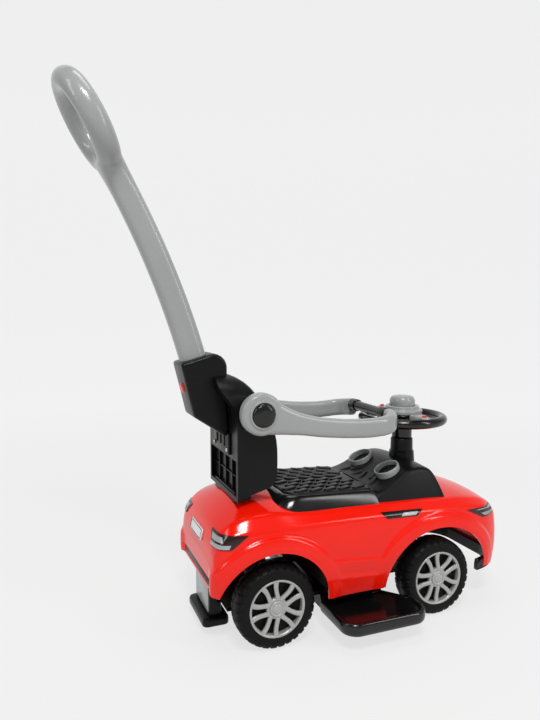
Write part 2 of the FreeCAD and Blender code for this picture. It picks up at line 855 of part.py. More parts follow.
def make_console(clear_body):
    """Dashboard with the slope for the dials and the collar of the steering column."""
    side = prism_y(
        (
            (seat_front_x + seat_gap, console_base, 0),
            (console_front_x, console_base, 0),
            (console_crest_x, console_top, console_edge_radius),
            (console_brow_x, console_top, console_edge_radius * 2),
            (seat_front_x + seat_gap, console_rear_height, 0),
        ),
        -console_low_half_width,
        console_low_half_width,
    )
    across = prism_x(
        (
            (-console_low_half_width, console_base, 0),
            (console_low_half_width, console_base, 0),
            (console_top_half_width, console_top, console_edge_radius),
            (-console_top_half_width, console_top, console_edge_radius),
        ),
        seat_front_x,
        console_front_x,
    )
    console = side.common(across).cut(clear_body)
    console = console.fuse(post(steer_x, 0, deck_height, collar_top, collar_diameter))
    for centre in (dial_base(dial_depth), dial_base(dial_depth) - Y_AXIS * 2 * dial_y):
        console = console.cut(Part.makeCylinder(dial_diameter / 2, dial_depth + cut_overrun,
                                                centre, dial_axis()))
    bore = steering_rod_diameter + 2 * running_gap
    console = console.cut(post(steer_x, 0, 0, collar_top + cut_overrun, bore))
    return max(console.Solids, key=lambda s: s.Volume).removeSplitter()


def make_dials():
    """Grey dial rings and the dark cups inside them."""
    start = dial_base(dial_depth)
    ring = Part.makeCylinder(dial_diameter / 2 - seat_gap, dial_ring_length, start, dial_axis())
    well = Part.makeCylinder(dial_diameter / 2 - dial_wall, dial_depth + cut_overrun, start, dial_axis())
    cup = Part.makeCylinder(dial_diameter / 2 - dial_wall, dial_face_thickness, start, dial_axis())
    return {"dial_bezels": pair(ring.cut(well)), "dial_faces": pair(cup)}


# Steering gear
def make_knuckle():
    """Left knuckle: turns on its kingpin and carries the stub axle and the steering arm."""
    body = post(wheelbase, kingpin_y, knuckle_base, knuckle_top, 2 * knuckle_radius)
    stub_end = tyre_outer_y - axle_end_inset
    stub = cross_rod(wheelbase, axle_height, kingpin_y, stub_end, axle_diameter)
    shoulder = cross_rod(wheelbase, axle_height, kingpin_y, tyre_inner_y - seat_gap,
                         knuckle_shoulder_diameter)
    arm = block(link_x, wheelbase, kingpin_y - arm_width / 2, kingpin_y + arm_width / 2,
                arm_base, arm_base + arm_thickness)
    eye = post(link_x, kingpin_y, arm_base, arm_base + arm_thickness, arm_width)
    pin = post(link_x, kingpin_y, arm_base, arm_base + arm_thickness + link_pin_height, link_pin_diameter)
    knuckle = body.fuse(stub).fuse(shoulder).fuse(arm).fuse(eye).fuse(pin).removeSplitter()
    bore = kingpin_diameter + 2 * running_gap
    return knuckle.cut(post(wheelbase, kingpin_y, 0, knuckle_top + cut_overrun, bore))


def make_kingpins():
    """Upright pins that the knuckles turn on."""
    return pair(post(wheelbase, kingpin_y, chassis_height, bridge_base + bridge_thickness, kingpin_diameter))


def make_bridge():
    """Steel bridge over the knuckles that holds the tops of the kingpins and steadies the steering rod."""
    half = bridge_length / 2
    top = bridge_base + bridge_thickness
    deck = wide_block(wheelbase - half, wheelbase + half, kingpin_y, bridge_base, top)
    for side in (-1, 1):
        deck = deck.fuse(post(wheelbase, side * kingpin_y, bridge_base, top, 2 * knuckle_radius))
        low_y, high_y = sorted((side * bridge_leg_y, side * (bridge_leg_y + bridge_leg_thickness)))
        deck = deck.fuse(block(wheelbase - half, wheelbase + half, low_y, high_y, chassis_top, bridge_base))
    for side in (-1, 1):
        deck = deck.cut(post(wheelbase, side * kingpin_y, 0, top + cut_overrun,
                             kingpin_diameter + 2 * running_gap))
    bore = steering_rod_diameter + 2 * running_gap
    return deck.cut(post(steer_x, 0, 0, top + cut_overrun, bore)).removeSplitter()


def link_slot(x, y):
    """Slot along X for a link pin, which swings on an arc while the tie rod runs straight."""
    half = tie_slot_length / 2
    width = tie_slot_width
    corners = (
        (x - half, y - width / 2, width / 3),
        (x + half, y - width / 2, width / 3),
        (x + half, y + width / 2, width / 3),
        (x - half, y + width / 2, width / 3),
    )
    return prism_z(corners, tie_base - cut_overrun, tie_base + cut_overrun)


def make_tie_rod():
    """Flat bar that joins the two steering arms and the crank of the steering rod."""
    half = kingpin_y + tie_rod_end
    bar = wide_block(link_x - tie_rod_width / 2, link_x + tie_rod_width / 2, half, tie_base,
                     tie_base + tie_rod_thickness)
    shift = steer_arm * (1 - math.cos(math.radians(steering_lock))) / 2
    for y in (-kingpin_y, kingpin_y):
        bar = bar.cut(link_slot(link_x + shift, y))
    return bar.cut(link_slot(crank_pin_x + shift, 0))


def make_steering_rod():
    """Steel rod from the steering wheel down to the crank that moves the tie rod."""
    top = hub_core_bottom
    shaft = post(steer_x, 0, crank_base, top, steering_rod_diameter)
    web = block(crank_pin_x, steer_x, -arm_width / 2, arm_width / 2, crank_base, crank_base + crank_thickness)
    eye = post(crank_pin_x, 0, crank_base, crank_base + crank_thickness, arm_width)
    pin = post(crank_pin_x, 0, arm_base + arm_thickness, crank_base, link_pin_diameter)
    return shaft.fuse(web).fuse(eye).fuse(pin).removeSplitter()


def make_steering_wheel():
    """Rim, spokes and boss of the steering wheel, in one black moulding."""
    centre = Vector(steer_x, 0, wheel_rim_height)
    rim = Part.makeTorus(wheel_rim_radius, wheel_rim_tube / 2, centre, Z_AXIS)
    core = post(steer_x, 0, hub_core_bottom, hub_flange_bottom, 2 * hub_core_radius)
    boss = post(steer_x, 0, collar_top + seat_gap, hub_core_bottom, boss_diameter)
    low = wheel_rim_height - spoke_thickness / 2
    spokes = wide_block(steer_x - spoke_half_width, steer_x + spoke_half_width, wheel_rim_radius,
                        low, low + spoke_thickness)
    wheel = rim.fuse(core).fuse(boss).fuse(spokes)
    bore = steering_rod_diameter + 2 * running_gap
    wheel = wheel.cut(post(steer_x, 0, collar_top, hub_core_bottom, bore))
    well = post(steer_x, 0, hub_flange_bottom - sound_module_height, hub_flange_bottom,
                sound_module_diameter + 2 * seat_gap)
    return wheel.cut(well).removeSplitter()


def make_hub():
    """Stepped grey hub flange with the well of the horn button."""
    low = hub_flange_bottom
    flange = post(steer_x, 0, low, low + hub_flange_thickness, hub_flange_diameter)
    step = post(steer_x, 0, low + hub_flange_thickness, hub_top, hub_step_diameter)
    well = post(steer_x, 0, low + horn_well_floor, hub_top, horn_diameter + 2 * seat_gap)
    return flange.fuse(step).cut(well).removeSplitter()


def make_horn():
    """Horn dome and the coil under it, drawn as a plain sleeve because it is hidden."""
    floor = hub_flange_bottom + horn_well_floor
    top = hub_top + horn_height
    skirt = hub_top - horn_travel
    centre = Vector(steer_x, 0, skirt)
    button = dome(centre, Z_AXIS, horn_diameter, top - skirt, horn_edge)
    spring = post(steer_x, 0, floor, skirt, horn_spring_diameter)
    spring = spring.cut(post(steer_x, 0, floor, skirt, horn_spring_diameter - 2 * horn_spring_wall))
    module = post(steer_x, 0, hub_flange_bottom - sound_module_height, hub_flange_bottom,
                  sound_module_diameter)
    return {"horn_button": button, "horn_spring": spring, "sound_module": module}


def make_wheel_inserts():
    """Grey inserts on the spokes, and the small red buttons in them."""
    low = wheel_rim_height + wheel_rim_tube / 2
    corners = (
        (steer_x - insert_half_width, insert_inner_y, insert_corner),
        (steer_x + insert_half_width, insert_inner_y, insert_corner),
        (steer_x + insert_half_width, insert_outer_y, insert_corner),
        (steer_x - insert_half_width, insert_outer_y, insert_corner),
    )
    core = prism_z(corners, wheel_rim_height, low + insert_thickness)
    centre = Vector(steer_x, 0, wheel_rim_height)
    rim = Part.makeTorus(wheel_rim_radius, wheel_rim_tube / 2 + seat_gap, centre, Z_AXIS)
    spoke_top = wheel_rim_height + spoke_thickness / 2
    core = core.cut(rim).cut(wide_block(steer_x - body_half_width, steer_x + body_half_width, body_half_width,
                                        wheel_rim_height - spoke_thickness, spoke_top))
    core = max(core.Solids, key=lambda s: s.Volume)
    top = low + insert_thickness
    floor = low + insert_thickness / 4
    core = core.cut(post(steer_x, wheel_button_y, floor, top, wheel_button_diameter + 2 * seat_gap))
    button = post(steer_x, wheel_button_y, floor + wheel_button_travel + seat_gap, top + wheel_button_height,
                  wheel_button_diameter)
    return {
        "steering_inserts": pair(core),
        "steering_button_left": button,
        "steering_button_right": mirrored(button),
    }


# Backrest, socket and push handle
def make_backrest(clear_body):
    """Bucket backrest on its foot, with a ribbed hollow back and the bosses of the guard pivots."""
    reach = back_front_x - back_rear_x
    rise = back_top - back_bottom
    corners = [(back_rear_x + reach * u, back_bottom + rise * v, reach * r) for u, v, r in back_side_shares]
    side = prism_y(corners, -back_half_width, back_half_width)
    crown = prism_x(
        (
            (-back_half_width, back_bottom, 0),
            (back_half_width, back_bottom, 0),
            (back_half_width, back_top, back_half_width * back_crown_share),
            (-back_half_width, back_top, back_half_width * back_crown_share),
        ),
        back_rear_x,
        back_front_x,
    )
    hollow = post(back_hollow_depth_x + back_hollow_radius, 0, back_bottom - cut_overrun,
                  back_top + cut_overrun, 2 * back_hollow_radius)
    rest = side.common(crown).cut(hollow)
    pocket_low = back_bottom + back_pocket_wall
    pocket_half = back_half_width - back_pocket_wall
    pocket = wide_block(back_rear_x, back_rear_x + back_pocket_depth, pocket_half,
                        pocket_low, back_pocket_top)
    pitch = 2 * pocket_half / (back_rib_count + 1)
    for index in range(back_rib_count):
        y = (index + 1) * pitch - pocket_half
        pocket = pocket.cut(block(back_rear_x, back_front_x, y - back_rib / 2, y + back_rib / 2,
                                  pocket_low, back_pocket_top))
    middle = (pocket_low + back_pocket_top) / 2
    pocket = pocket.cut(wide_block(back_rear_x, back_front_x, pocket_half,
                                   middle - back_rib / 2, middle + back_rib / 2))
    rest = rest.cut(pocket)
    foot_front = back_rear_x + back_foot_length
    foot = prism_y(
        (
            (back_rear_x, waist_height, 0),
            (foot_front, waist_height, 0),
            (foot_front, back_bottom + back_foot_rise, 0),
            (back_rear_x, pocket_low, 0),
        ),
        -back_foot_half_width,
        back_foot_half_width,
    )
    rest = rest.fuse(foot.cut(clear_body))
    boss_end = guard_inner_y - seat_gap
    boss_start = back_half_width - pivot_pin_diameter
    boss = cross_rod(guard_pivot_x, guard_pivot_height, boss_start, boss_end, pivot_boss_diameter)
    rest = rest.fuse(boss).fuse(mirrored(boss))
    pin_start = back_half_width - 2 * pivot_pin_diameter
    hole = cross_rod(guard_pivot_x, guard_pivot_height, pin_start, guard_outer_y,
                     pivot_pin_diameter + 2 * running_gap)
    return rest.cut(hole).cut(mirrored(hole)).removeSplitter()


def make_pivot_pins():
    """Pins in the backrest that the guard turns on."""
    start = back_half_width - 2 * pivot_pin_diameter
    return pair(cross_rod(guard_pivot_x, guard_pivot_height, start, guard_outer_y, pivot_pin_diameter))


def stem_path_frame(distance):
    """Point on the socket's axis, measured up from its mouth."""
    return socket_mouth + stem_up * distance


def oval_wire(centre, depth, width):
    """Oval section of the stem, square to the socket's axis."""
    ellipse = Part.Ellipse(centre + stem_forward * (depth / 2), centre + Y_AXIS * (width / 2), centre)
    return Part.Wire(ellipse.toShape())


def make_socket():
    """Socket that holds the foot of the push handle, with its screwed flange."""
    rear = socket_mouth - stem_forward * socket_rear_reach
    front = socket_mouth + stem_forward * socket_front_reach
    seat_x = back_rear_x - seat_gap / 3
    side = prism_y(
        (
            (rear.x, rear.z, 0),
            (min(front.x, seat_x), front.z, 0),
            (seat_x, front.z - socket_corner, 0),
            (seat_x, socket_low_height, 0),
            ((seat_x + socket_low_rear_x) / 2, (socket_low_height + socket_low_rear_height) / 2, 0),
            (socket_low_rear_x, socket_low_rear_height, socket_corner),
        ),
        -socket_half_width,
        socket_half_width,
    )
    flange = wide_block(seat_x - flange_thickness, seat_x, flange_half_width, flange_low,
                        socket_low_height + socket_corner)
    socket = side.fuse(flange)
    hole = oval_wire(stem_path_frame(-socket_depth), stem_depth + 2 * socket_stem_gap,
                     stem_width + 2 * socket_stem_gap)
    socket = socket.cut(Part.Face(hole).extrude(stem_up * (socket_depth + cut_overrun)))
    return socket.cut(button_hole(button_diameter + 2 * seat_gap)).removeSplitter()


def button_point(depth):
    """Point on the release button's axis, measured forward from the socket's rear face."""
    return stem_path_frame(-button_below_mouth) + stem_forward * (depth - socket_rear_reach)


def button_hole(diameter):
    """Hole of the release button through the rear wall of the socket."""
    inner = socket_rear_reach - stem_depth / 2 + socket_stem_gap
    return rod(button_point(-cut_overrun), button_point(inner), diameter)


def make_socket_screws():
    """Screws that hold the socket's flange to the backrest."""
    face_x = back_rear_x - seat_gap / 3 - flange_thickness
    y = flange_half_width - screw_head_diameter
    z = flange_low + screw_head_diameter
    head = rod(Vector(face_x - screw_head_height, y, z), Vector(face_x, y, z), screw_head_diameter)
    return pair(head)


def make_release_button():
    """Red button in the socket's rear wall, and its hidden coil, drawn as a plain sleeve."""
    inner = socket_rear_reach - stem_depth / 2 - button_clearance - button_travel
    button = rod(button_point(-button_proud), button_point(inner), button_diameter)
    bore = button_diameter - 2 * button_wall
    button = button.cut(rod(button_point(button_wall - button_proud), button_point(inner), bore))
    coil = rod(button_point(button_wall - button_proud), button_point(inner), button_spring_diameter)
    coil = coil.cut(rod(button_point(button_wall - button_proud), button_point(inner),
                        button_spring_diameter - 2 * button_wall))
    return {"handle_button": button, "button_spring": coil}


def stem_bend_point(share):
    """Point on the bend of the stem, from 0 at the socket's mouth to 1 at its top."""
    turn = lean + math.radians(stem_bend_angle) * share
    centre = socket_mouth - stem_forward * stem_bend_radius
    return centre + Vector(math.cos(turn), 0, math.sin(turn)) * stem_bend_radius


loop_lean = math.radians(handle_lean + stem_bend_angle)
loop_up = Vector(-math.sin(loop_lean), 0, math.cos(loop_lean))
loop_middle = stem_bend_point(1.0) + loop_up * (loop_length / 2 + loop_tube / 2 - loop_sink)


def make_push_handle():
    """Curved oval stem with a round grip loop at its top."""
    foot = stem_path_frame(-socket_depth + socket_stem_gap)
    path = Part.Wire([
        Part.LineSegment(foot, socket_mouth).toShape(),
        Part.Arc(socket_mouth, stem_bend_point(0.5), stem_bend_point(1.0)).toShape(),
    ])
    stem = path.makePipeShell([oval_wire(foot, stem_depth, stem_width)], True, True)
    radius = loop_width / 2
    straight = loop_length - loop_width
    low = loop_middle - loop_up * (straight / 2)
    high = loop_middle + loop_up * (straight / 2)
    side = Y_AXIS * radius
    ring_path = Part.Wire([
        Part.Arc(low + side, low - loop_up * radius, low - side).toShape(),
        Part.LineSegment(low - side, high - side).toShape(),
        Part.Arc(high - side, high + loop_up * radius, high + side).toShape(),
        Part.LineSegment(high + side, low + side).toShape(),
    ])
    section = Part.Wire(Part.Circle(low + side, loop_up, loop_tube / 2).toShape())
    ring = ring_path.makePipeShell([section], True, True)
    return stem.fuse(ring).removeSplitter()


# Guard
def make_guard_arm():
    """Left guard arm: pivot drum, tapering arm and the bend in to the bar."""
    corners = [
        (guard_pivot_x + guard_reach * u, guard_pivot_height + guard_drop * v, 0)
        for u, v in guard_side_shares
    ]
    side = prism_y(corners, 0, guard_outer_y)
    drum = cross_rod(guard_pivot_x, guard_pivot_height, guard_inner_y, guard_outer_y, guard_drum_diameter)
    front_x = guard_pivot_x + guard_reach
    back_x = guard_pivot_x - guard_drum_diameter
    plan = prism_z(
        (
            (back_x, guard_outer_y, 0),
            (front_x, guard_outer_y, guard_corner),
            (front_x, guard_end_y, 0),
            (front_x - guard_thickness, guard_end_y, 0),
            (front_x - guard_thickness, guard_inner_y, guard_corner - guard_thickness),
            (back_x, guard_inner_y, 0),
        ),
        0,
        guard_pivot_height + guard_drum_diameter,
    )
    ring_y = guard_outer_y + guard_ring_height
    ring = cross_rod(guard_pivot_x, guard_pivot_height, guard_outer_y, ring_y, guard_ring_diameter)
    ring = ring.cut(cross_rod(guard_pivot_x, guard_pivot_height, guard_outer_y, ring_y, pivot_cap_diameter))
    arm = side.common(plan).fuse(drum).fuse(ring)
    bore = pivot_pin_diameter + 2 * running_gap
    return arm.cut(cross_rod(guard_pivot_x, guard_pivot_height, 0, guard_outer_y, bore)).removeSplitter()


def make_guard_bar():
    """Black bar between the two guard arms."""
    x = guard_pivot_x + guard_reach - guard_thickness / 2
    return cross_rod(x, guard_bar_height, -guard_end_y, guard_end_y, guard_bar_diameter)


def make_pivot_caps():
    """Black domed caps over the guard pivots."""
    centre = Vector(guard_pivot_x, guard_outer_y, guard_pivot_height)
    return pair(dome(centre, Y_AXIS, pivot_cap_diameter, pivot_cap_height, pivot_cap_edge))


# Footrests
def make_footrest():
    """Left footrest: tray with a raised rim and a tongue that runs in the chassis channel."""
    top = footrest_bottom + footrest_thickness
    corners = (
        (footrest_rear_x, footrest_inner_y, 0),
        (footrest_notch_x, footrest_inner_y, 0),
        (footrest_front_x, footrest_notch_y, footrest_corner),
        (footrest_front_x, footrest_outer_y, footrest_corner),
        (footrest_rear_x, footrest_outer_y, footrest_corner),
    )
    tray = prism_z(corners, footrest_bottom, top)
    rim = footrest_rim
    inner = (
        (footrest_rear_x + rim, footrest_inner_y + rim, 0),
        (footrest_notch_x - rim / 2, footrest_inner_y + rim, 0),
        (footrest_front_x - rim, footrest_notch_y + rim / 2, footrest_corner - rim),
        (footrest_front_x - rim, footrest_outer_y - rim, footrest_corner - rim),
        (footrest_rear_x + rim, footrest_outer_y - rim, footrest_corner - rim),
    )
    tray = tray.cut(prism_z(inner, top - footrest_well, top + cut_overrun))
    channel_low = chassis_height - foot_channel_depth + foot_channel_wall
    channel_top = chassis_height - foot_channel_wall
    tongue = block(foot_channel_rear_x + foot_channel_wall + tongue_side_gap,
                   foot_channel_front_x - foot_channel_wall - tongue_side_gap,
                   footrest_inner_y - tongue_length, footrest_inner_y,
                   channel_low + seat_gap, channel_top - seat_gap)
    return tray.fuse(tongue).removeSplitter()


def make_chassis_screws():
    """Screws that hold the chassis to the body, with their heads below the floor."""
    heads = []
    for x in (chassis_rear_x + screw_head_diameter, chassis_step_x - screw_head_diameter,
              chassis_front_x - screw_head_diameter):
        for side in (-1, 1):
            y = side * (chassis_front_half_width - screw_head_diameter)
            heads.append(post(x, y, chassis_height - screw_head_height, chassis_height, screw_head_diameter))
    return Part.makeCompound(heads)


def build_car():
    """Every piece of the car by name, in the rear axle's frame."""
    shell = make_body_shell(body_form(0))
    clear_body = body_form(seat_gap)
    knuckle = make_knuckle()
    arm = make_guard_arm()
    footrest = make_footrest()
    pieces = {
        "body_shell": shell,
        "chassis_tray": make_chassis(),
        "front_lip": make_front_lip(),
        "rear_axle": make_rear_axle(),
        "axle_washers": make_washers(),
        "seat_frame": make_seat_frame(clear_body),
        "seat_lid": make_seat_lid(),
        "lid_pins": make_lid_pins(),
        "storage_tray": make_storage_tray(),
        "console": make_console(clear_body),
        "knuckle_left": knuckle,
        "knuckle_right": mirrored(knuckle),
        "kingpins": make_kingpins(),
        "kingpin_bridge": make_bridge(),
        "tie_rod": make_tie_rod(),
        "steering_rod": make_steering_rod(),
        "steering_wheel": make_steering_wheel(),
        "steering_hub": make_hub(),
        "backrest": make_backrest(clear_body),
        "pivot_pins": make_pivot_pins(),
        "handle_socket": make_socket(),
        "socket_screws": make_socket_screws(),
        "push_handle": make_push_handle(),
        "guard_arm_left": arm,
        "guard_arm_right": mirrored(arm),
        "guard_bar": make_guard_bar(),
        "pivot_caps": make_pivot_caps(),
        "footrest_left": footrest,
        "footrest_right": mirrored(footrest),
        "chassis_screws": make_chassis_screws(),
    }
    for group in (make_wheels(), make_trim(shell), make_foot(), make_dials(), make_horn(),
                  make_wheel_inserts(), make_release_button()):
        pieces.update(group)
    return pieces


# The car's own origin is on the ground under the middle of its length
pieces = build_car()
rear_end = pieces["push_handle"].optimalBoundingBox().XMin
front_end = pieces["grille"].optimalBoundingBox().XMax
middle_x = (rear_end + front_end) / 2
for name, shape in sorted(pieces.items()):
    shape = shape.copy()
    shape.translate(Vector(-middle_x, 0, 0))
    shape.exportStep(f"parts/{name}.step")
    print(name, len(shape.Solids), "solids", round(shape.Volume / 1000, 2), "cm3", shape.isValid())
print("rear axle at x =", round(-middle_x, 3))
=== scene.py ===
import json
import math

import bpy
import numpy as np
from bpy.props import FloatProperty, FloatVectorProperty, PointerProperty
from bpy.types import Operator, Panel, PropertyGroup
from mathutils import Matrix, Vector

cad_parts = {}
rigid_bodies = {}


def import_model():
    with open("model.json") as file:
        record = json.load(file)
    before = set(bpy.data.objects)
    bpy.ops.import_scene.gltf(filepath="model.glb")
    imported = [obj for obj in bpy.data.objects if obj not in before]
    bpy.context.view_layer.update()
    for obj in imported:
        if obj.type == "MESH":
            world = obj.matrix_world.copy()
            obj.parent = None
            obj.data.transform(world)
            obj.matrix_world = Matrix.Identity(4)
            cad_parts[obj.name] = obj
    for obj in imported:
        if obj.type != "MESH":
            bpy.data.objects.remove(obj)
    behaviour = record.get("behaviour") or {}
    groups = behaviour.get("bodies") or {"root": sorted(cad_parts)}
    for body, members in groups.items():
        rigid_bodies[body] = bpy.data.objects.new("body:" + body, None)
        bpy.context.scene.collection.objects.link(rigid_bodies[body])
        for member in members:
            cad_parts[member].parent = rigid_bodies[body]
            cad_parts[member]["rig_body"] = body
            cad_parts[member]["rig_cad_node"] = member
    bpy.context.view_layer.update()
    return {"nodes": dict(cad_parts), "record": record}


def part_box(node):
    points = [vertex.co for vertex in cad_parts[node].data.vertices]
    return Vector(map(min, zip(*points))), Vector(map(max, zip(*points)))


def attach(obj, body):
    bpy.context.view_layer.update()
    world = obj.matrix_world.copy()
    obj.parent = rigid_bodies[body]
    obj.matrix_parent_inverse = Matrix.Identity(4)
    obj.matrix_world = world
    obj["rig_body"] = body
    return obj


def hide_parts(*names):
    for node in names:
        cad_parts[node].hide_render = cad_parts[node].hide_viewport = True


bl_info = {
    "name": "Push car with handle",
    "version": (1, 0, 0),
    "blender": (4, 5, 0),
    "location": "3D View > Sidebar > Push car",
    "description": "Dresses the push car's frame with its shell, seat, wheels, guard and handle",
    "category": "Object",
}

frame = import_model()
axle_low, axle_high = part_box("rear_axle")
axle_x = (axle_low.x + axle_high.x) / 2
node_body = {node: body for body, nodes in frame["record"]["behaviour"]["bodies"].items() for node in nodes}
node_slot = {row["node"]: row["material_slot"] for row in frame["record"]["subparts"]}

MM = 0.001
SIDES = (("left", 1), ("right", -1))
MIRROR = Matrix.Scale(-1, 4, (0, 1, 0))

# Places in millimetres: x ahead of the rear axle, y left of the middle, z above the ground
wheel_height = 72.0
wheel_reach = 115.0
column_x = 328.0
collar_height = 312.0
steering_height = 352.0
pivot_x = -18.0
pivot_height = 398.0
stem_x = -107.0
stem_height = 487.0
stem_lean = math.radians(16)
stem_depth = 47.0
stem_width = 38.0
stem_play = 0.8
stem_power = 3.0
camera_place = (-371, -1047, 574)

# Stations of the shell from tail to nose: x, half width, top, waist and lower edge
body_stations = (
    (-104.0, 101.8, 150.1, 138.0, 102.2),
    (-99.8, 113.0, 186.0, 169.9, 99.0),
    (-91.9, 119.3, 205.9, 185.9, 97.0),
    (-78.6, 124.0, 221.4, 196.1, 95.0),
    (-52.7, 129.0, 238.6, 202.0, 90.0),
    (-7.4, 133.1, 246.0, 203.0, 79.9),
    (59.1, 134.0, 237.4, 203.0, 72.0),
    (161.8, 134.0, 232.5, 203.0, 72.0),
    (258.4, 134.0, 228.0, 202.0, 72.0),
    (339.9, 133.1, 225.1, 200.0, 70.9),
    (411.2, 128.0, 218.9, 194.9, 70.9),
    (454.7, 117.9, 206.9, 184.7, 72.0),
    (480.1, 104.5, 191.9, 170.5, 72.7),
    (494.0, 85.8, 173.4, 152.0, 74.2),
    (500.0, 64.3, 152.5, 132.0, 77.8),
)
# Wheel arches: x of the middle, half span and rise above the wheel's middle
rear_arch = (0.0, 98.0, 95.0)
front_arch = (327.0, 114.0, 96.0)
# Points along half a section of the shell, and rings that close its tail and its nose
flank_points = 46
shoulder_points = 8
deck_points = 25
half_points = flank_points + shoulder_points + deck_points
cap_rings = 14
station_count = 205
tail_rings = 76


def at(x, y, z):
    """Point in metres from millimetres ahead of the rear axle, left of the middle and above the ground."""
    return Vector((axle_x + x * MM, y * MM, z * MM))


def linear(code):
    """Linear colour of an sRGB hex code."""
    channels = [int(code[i:i + 2], 16) / 255 for i in (1, 3, 5)]
    return tuple(c / 12.92 if c <= 0.04045 else ((c + 0.055) / 1.055) ** 2.4 for c in channels)


def ease(low, high, value):
    """Smooth step from 0 at low to 1 at high."""
    t = min(max((value - low) / (high - low), 0.0), 1.0)
    return t * t * (3 - 2 * t)


def deselect():
    """Leaves nothing selected."""
    bpy.ops.object.select_all(action="DESELECT")


def pick(piece):
    """Makes one piece the selected and active object."""
    deselect()
    piece.select_set(True)
    bpy.context.view_layer.objects.active = piece


def edited(piece, change, **settings):
    """Runs one edit mode operator on a whole piece."""
    pick(piece)
    bpy.ops.object.mode_set(mode="EDIT")
    bpy.ops.mesh.select_all(action="SELECT")
    change(**settings)
    bpy.ops.object.mode_set(mode="OBJECT")
    return piece


def mend(piece):
    """Merges doubled points and turns all faces outwards."""
    pick(piece)
    bpy.ops.object.mode_set(mode="EDIT")
    bpy.ops.mesh.select_all(action="SELECT")
    bpy.ops.mesh.remove_doubles(threshold=0.02 * MM)
    bpy.ops.mesh.dissolve_degenerate(threshold=0.005 * MM)
    bpy.ops.mesh.select_all(action="SELECT")
    bpy.ops.mesh.normals_make_consistent(inside=False)
    bpy.ops.object.mode_set(mode="OBJECT")
    return piece


def primitive(start, **settings):
    """Primitive added at its size and place, with both applied to its mesh."""
    deselect()
    start(**settings)
    bpy.ops.object.transform_apply(location=True, rotation=True, scale=True)
    return bpy.context.object


def skin(name, rings, closed=True):
    """Surface laid through rings of points, with a grid as its start."""
    deselect()
    if closed:
        rings = [list(ring) + [ring[0]] for ring in rings]
    bpy.ops.mesh.primitive_grid_add(x_subdivisions=len(rings[0]) - 1, y_subdivisions=len(rings) - 1, size=1)
    piece = bpy.context.object
    piece.name = name
    piece.data.name = name
    piece.data.vertices.foreach_set("co", [c for ring in rings for point in ring for c in point])
    piece.data.update()
    return mend(piece)


def outline(corners, arc_steps=8, run_steps=6):
    """Points round a closed outline of (u, v, radius) corners, always as many for as many corners."""
    spans = []
    for index, (u, v, radius) in enumerate(corners):
        here = Vector((u, v))
        before = Vector(corners[index - 1][:2]) - here
        after = Vector(corners[(index + 1) % len(corners)][:2]) - here
        half = before.angle(after) / 2
        before.normalize()
        after.normalize()
        reach = radius / math.tan(half)
        start = here + before * reach
        end = here + after * reach
        centre = here + (before + after).normalized() * (radius / math.sin(half))
        arc = []
        for step in range(arc_steps + 1):
            share = step / arc_steps
            point = start.lerp(end, share)
            if radius > 0:
                point = centre + (point - centre).normalized() * radius
            arc.append(point)
        spans.append(arc)
    points = []
    for index, arc in enumerate(spans):
        points += arc
        following = spans[(index + 1) % len(spans)][0]
        points += [arc[-1].lerp(following, step / run_steps) for step in range(1, run_steps)]
    return points


def capped(rings):
    """Rings with one more at each end that is drawn together to its middle."""
    ends = []
    for ring in (rings[0], rings[-1]):
        middle = sum(ring, Vector((0, 0, 0))) / len(ring)
        ends.append([middle] * len(ring))
    return [ends[0], *rings, ends[1]]


def stack(name, outer, inner, levels, place, loop=False):
    """Solid of rings that pass from an outer outline to an inner one, capped or closed on itself."""
    rings = []
    for share, height in levels:
        rings.append([place(*a.lerp(b, share), height) for a, b in zip(outer, inner)])
    return skin(name, rings + rings[:1] if loop else capped(rings))


def turned(name, profile, place, segments=64):
    """Turned piece through (radius, height) points round an axis."""
    turns = [2 * math.pi * step / segments for step in range(segments)]
    return skin(name, [[place(r * math.cos(t), r * math.sin(t), h) for t in turns] for r, h in profile])


def rounded(profile, radius, steps=5):
    """Open profile with its inner corners rounded."""
    points = [Vector(p) for p in profile]
    out = [points[0]]
    for before, here, after in zip(points, points[1:], points[2:]):
        reach = min(radius, (before - here).length * 0.45, (after - here).length * 0.45)
        start = here + (before - here).normalized() * reach
        end = here + (after - here).normalized() * reach
        for step in range(steps + 1):
            t = step / steps
            out.append(start.lerp(here, t).lerp(here.lerp(end, t), t))
    return out + [points[-1]]


def oval(width, height, power=2.0, count=28):
    """Closed section between an ellipse and a rounded box."""
    points = []
    for step in range(count):
        turn = 2 * math.pi * step / count
        c, s = math.cos(turn), math.sin(turn)
        points.append((math.copysign(abs(c) ** (2 / power), c) * width / 2,
                       math.copysign(abs(s) ** (2 / power), s) * height / 2))
    return points


def modifier(piece, kind, **settings):
    """Adds a modifier and applies it."""
    pick(piece)
    added = piece.modifiers.new(kind.title(), kind)
    for key, value in settings.items():
        setattr(added, key, value)
    bpy.ops.object.modifier_apply(modifier=added.name)
    return piece


def carve(piece, cutter):
    """Cuts one closed piece out of another and removes the cutter."""
    modifier(piece, "BOOLEAN", operation="DIFFERENCE", object=cutter, solver="EXACT")
    bpy.data.objects.remove(cutter, do_unlink=True)
    return piece


def block(name, low, high, bevel=0.0, segments=3):
    """Box between two corners in millimetres, with rounded edges."""
    low, high = Vector(low), Vector(high)
    middle = at(*((low + high) / 2))
    piece = primitive(bpy.ops.mesh.primitive_cube_add, size=1, location=middle, scale=(high - low) * MM)
    piece.name = name
    if bevel:
        edited(piece, bpy.ops.mesh.bevel, offset=bevel * MM, segments=segments, affect="EDGES",
               clamp_overlap=True)
    return piece


def joined(name, pieces):
    """One piece made of several."""
    deselect()
    for piece in pieces:
        piece.select_set(True)
    bpy.context.view_layer.objects.active = pieces[0]
    if len(pieces) > 1:
        bpy.ops.object.join()
    pieces[0].name = name
    pieces[0].data.name = name
    return pieces[0]


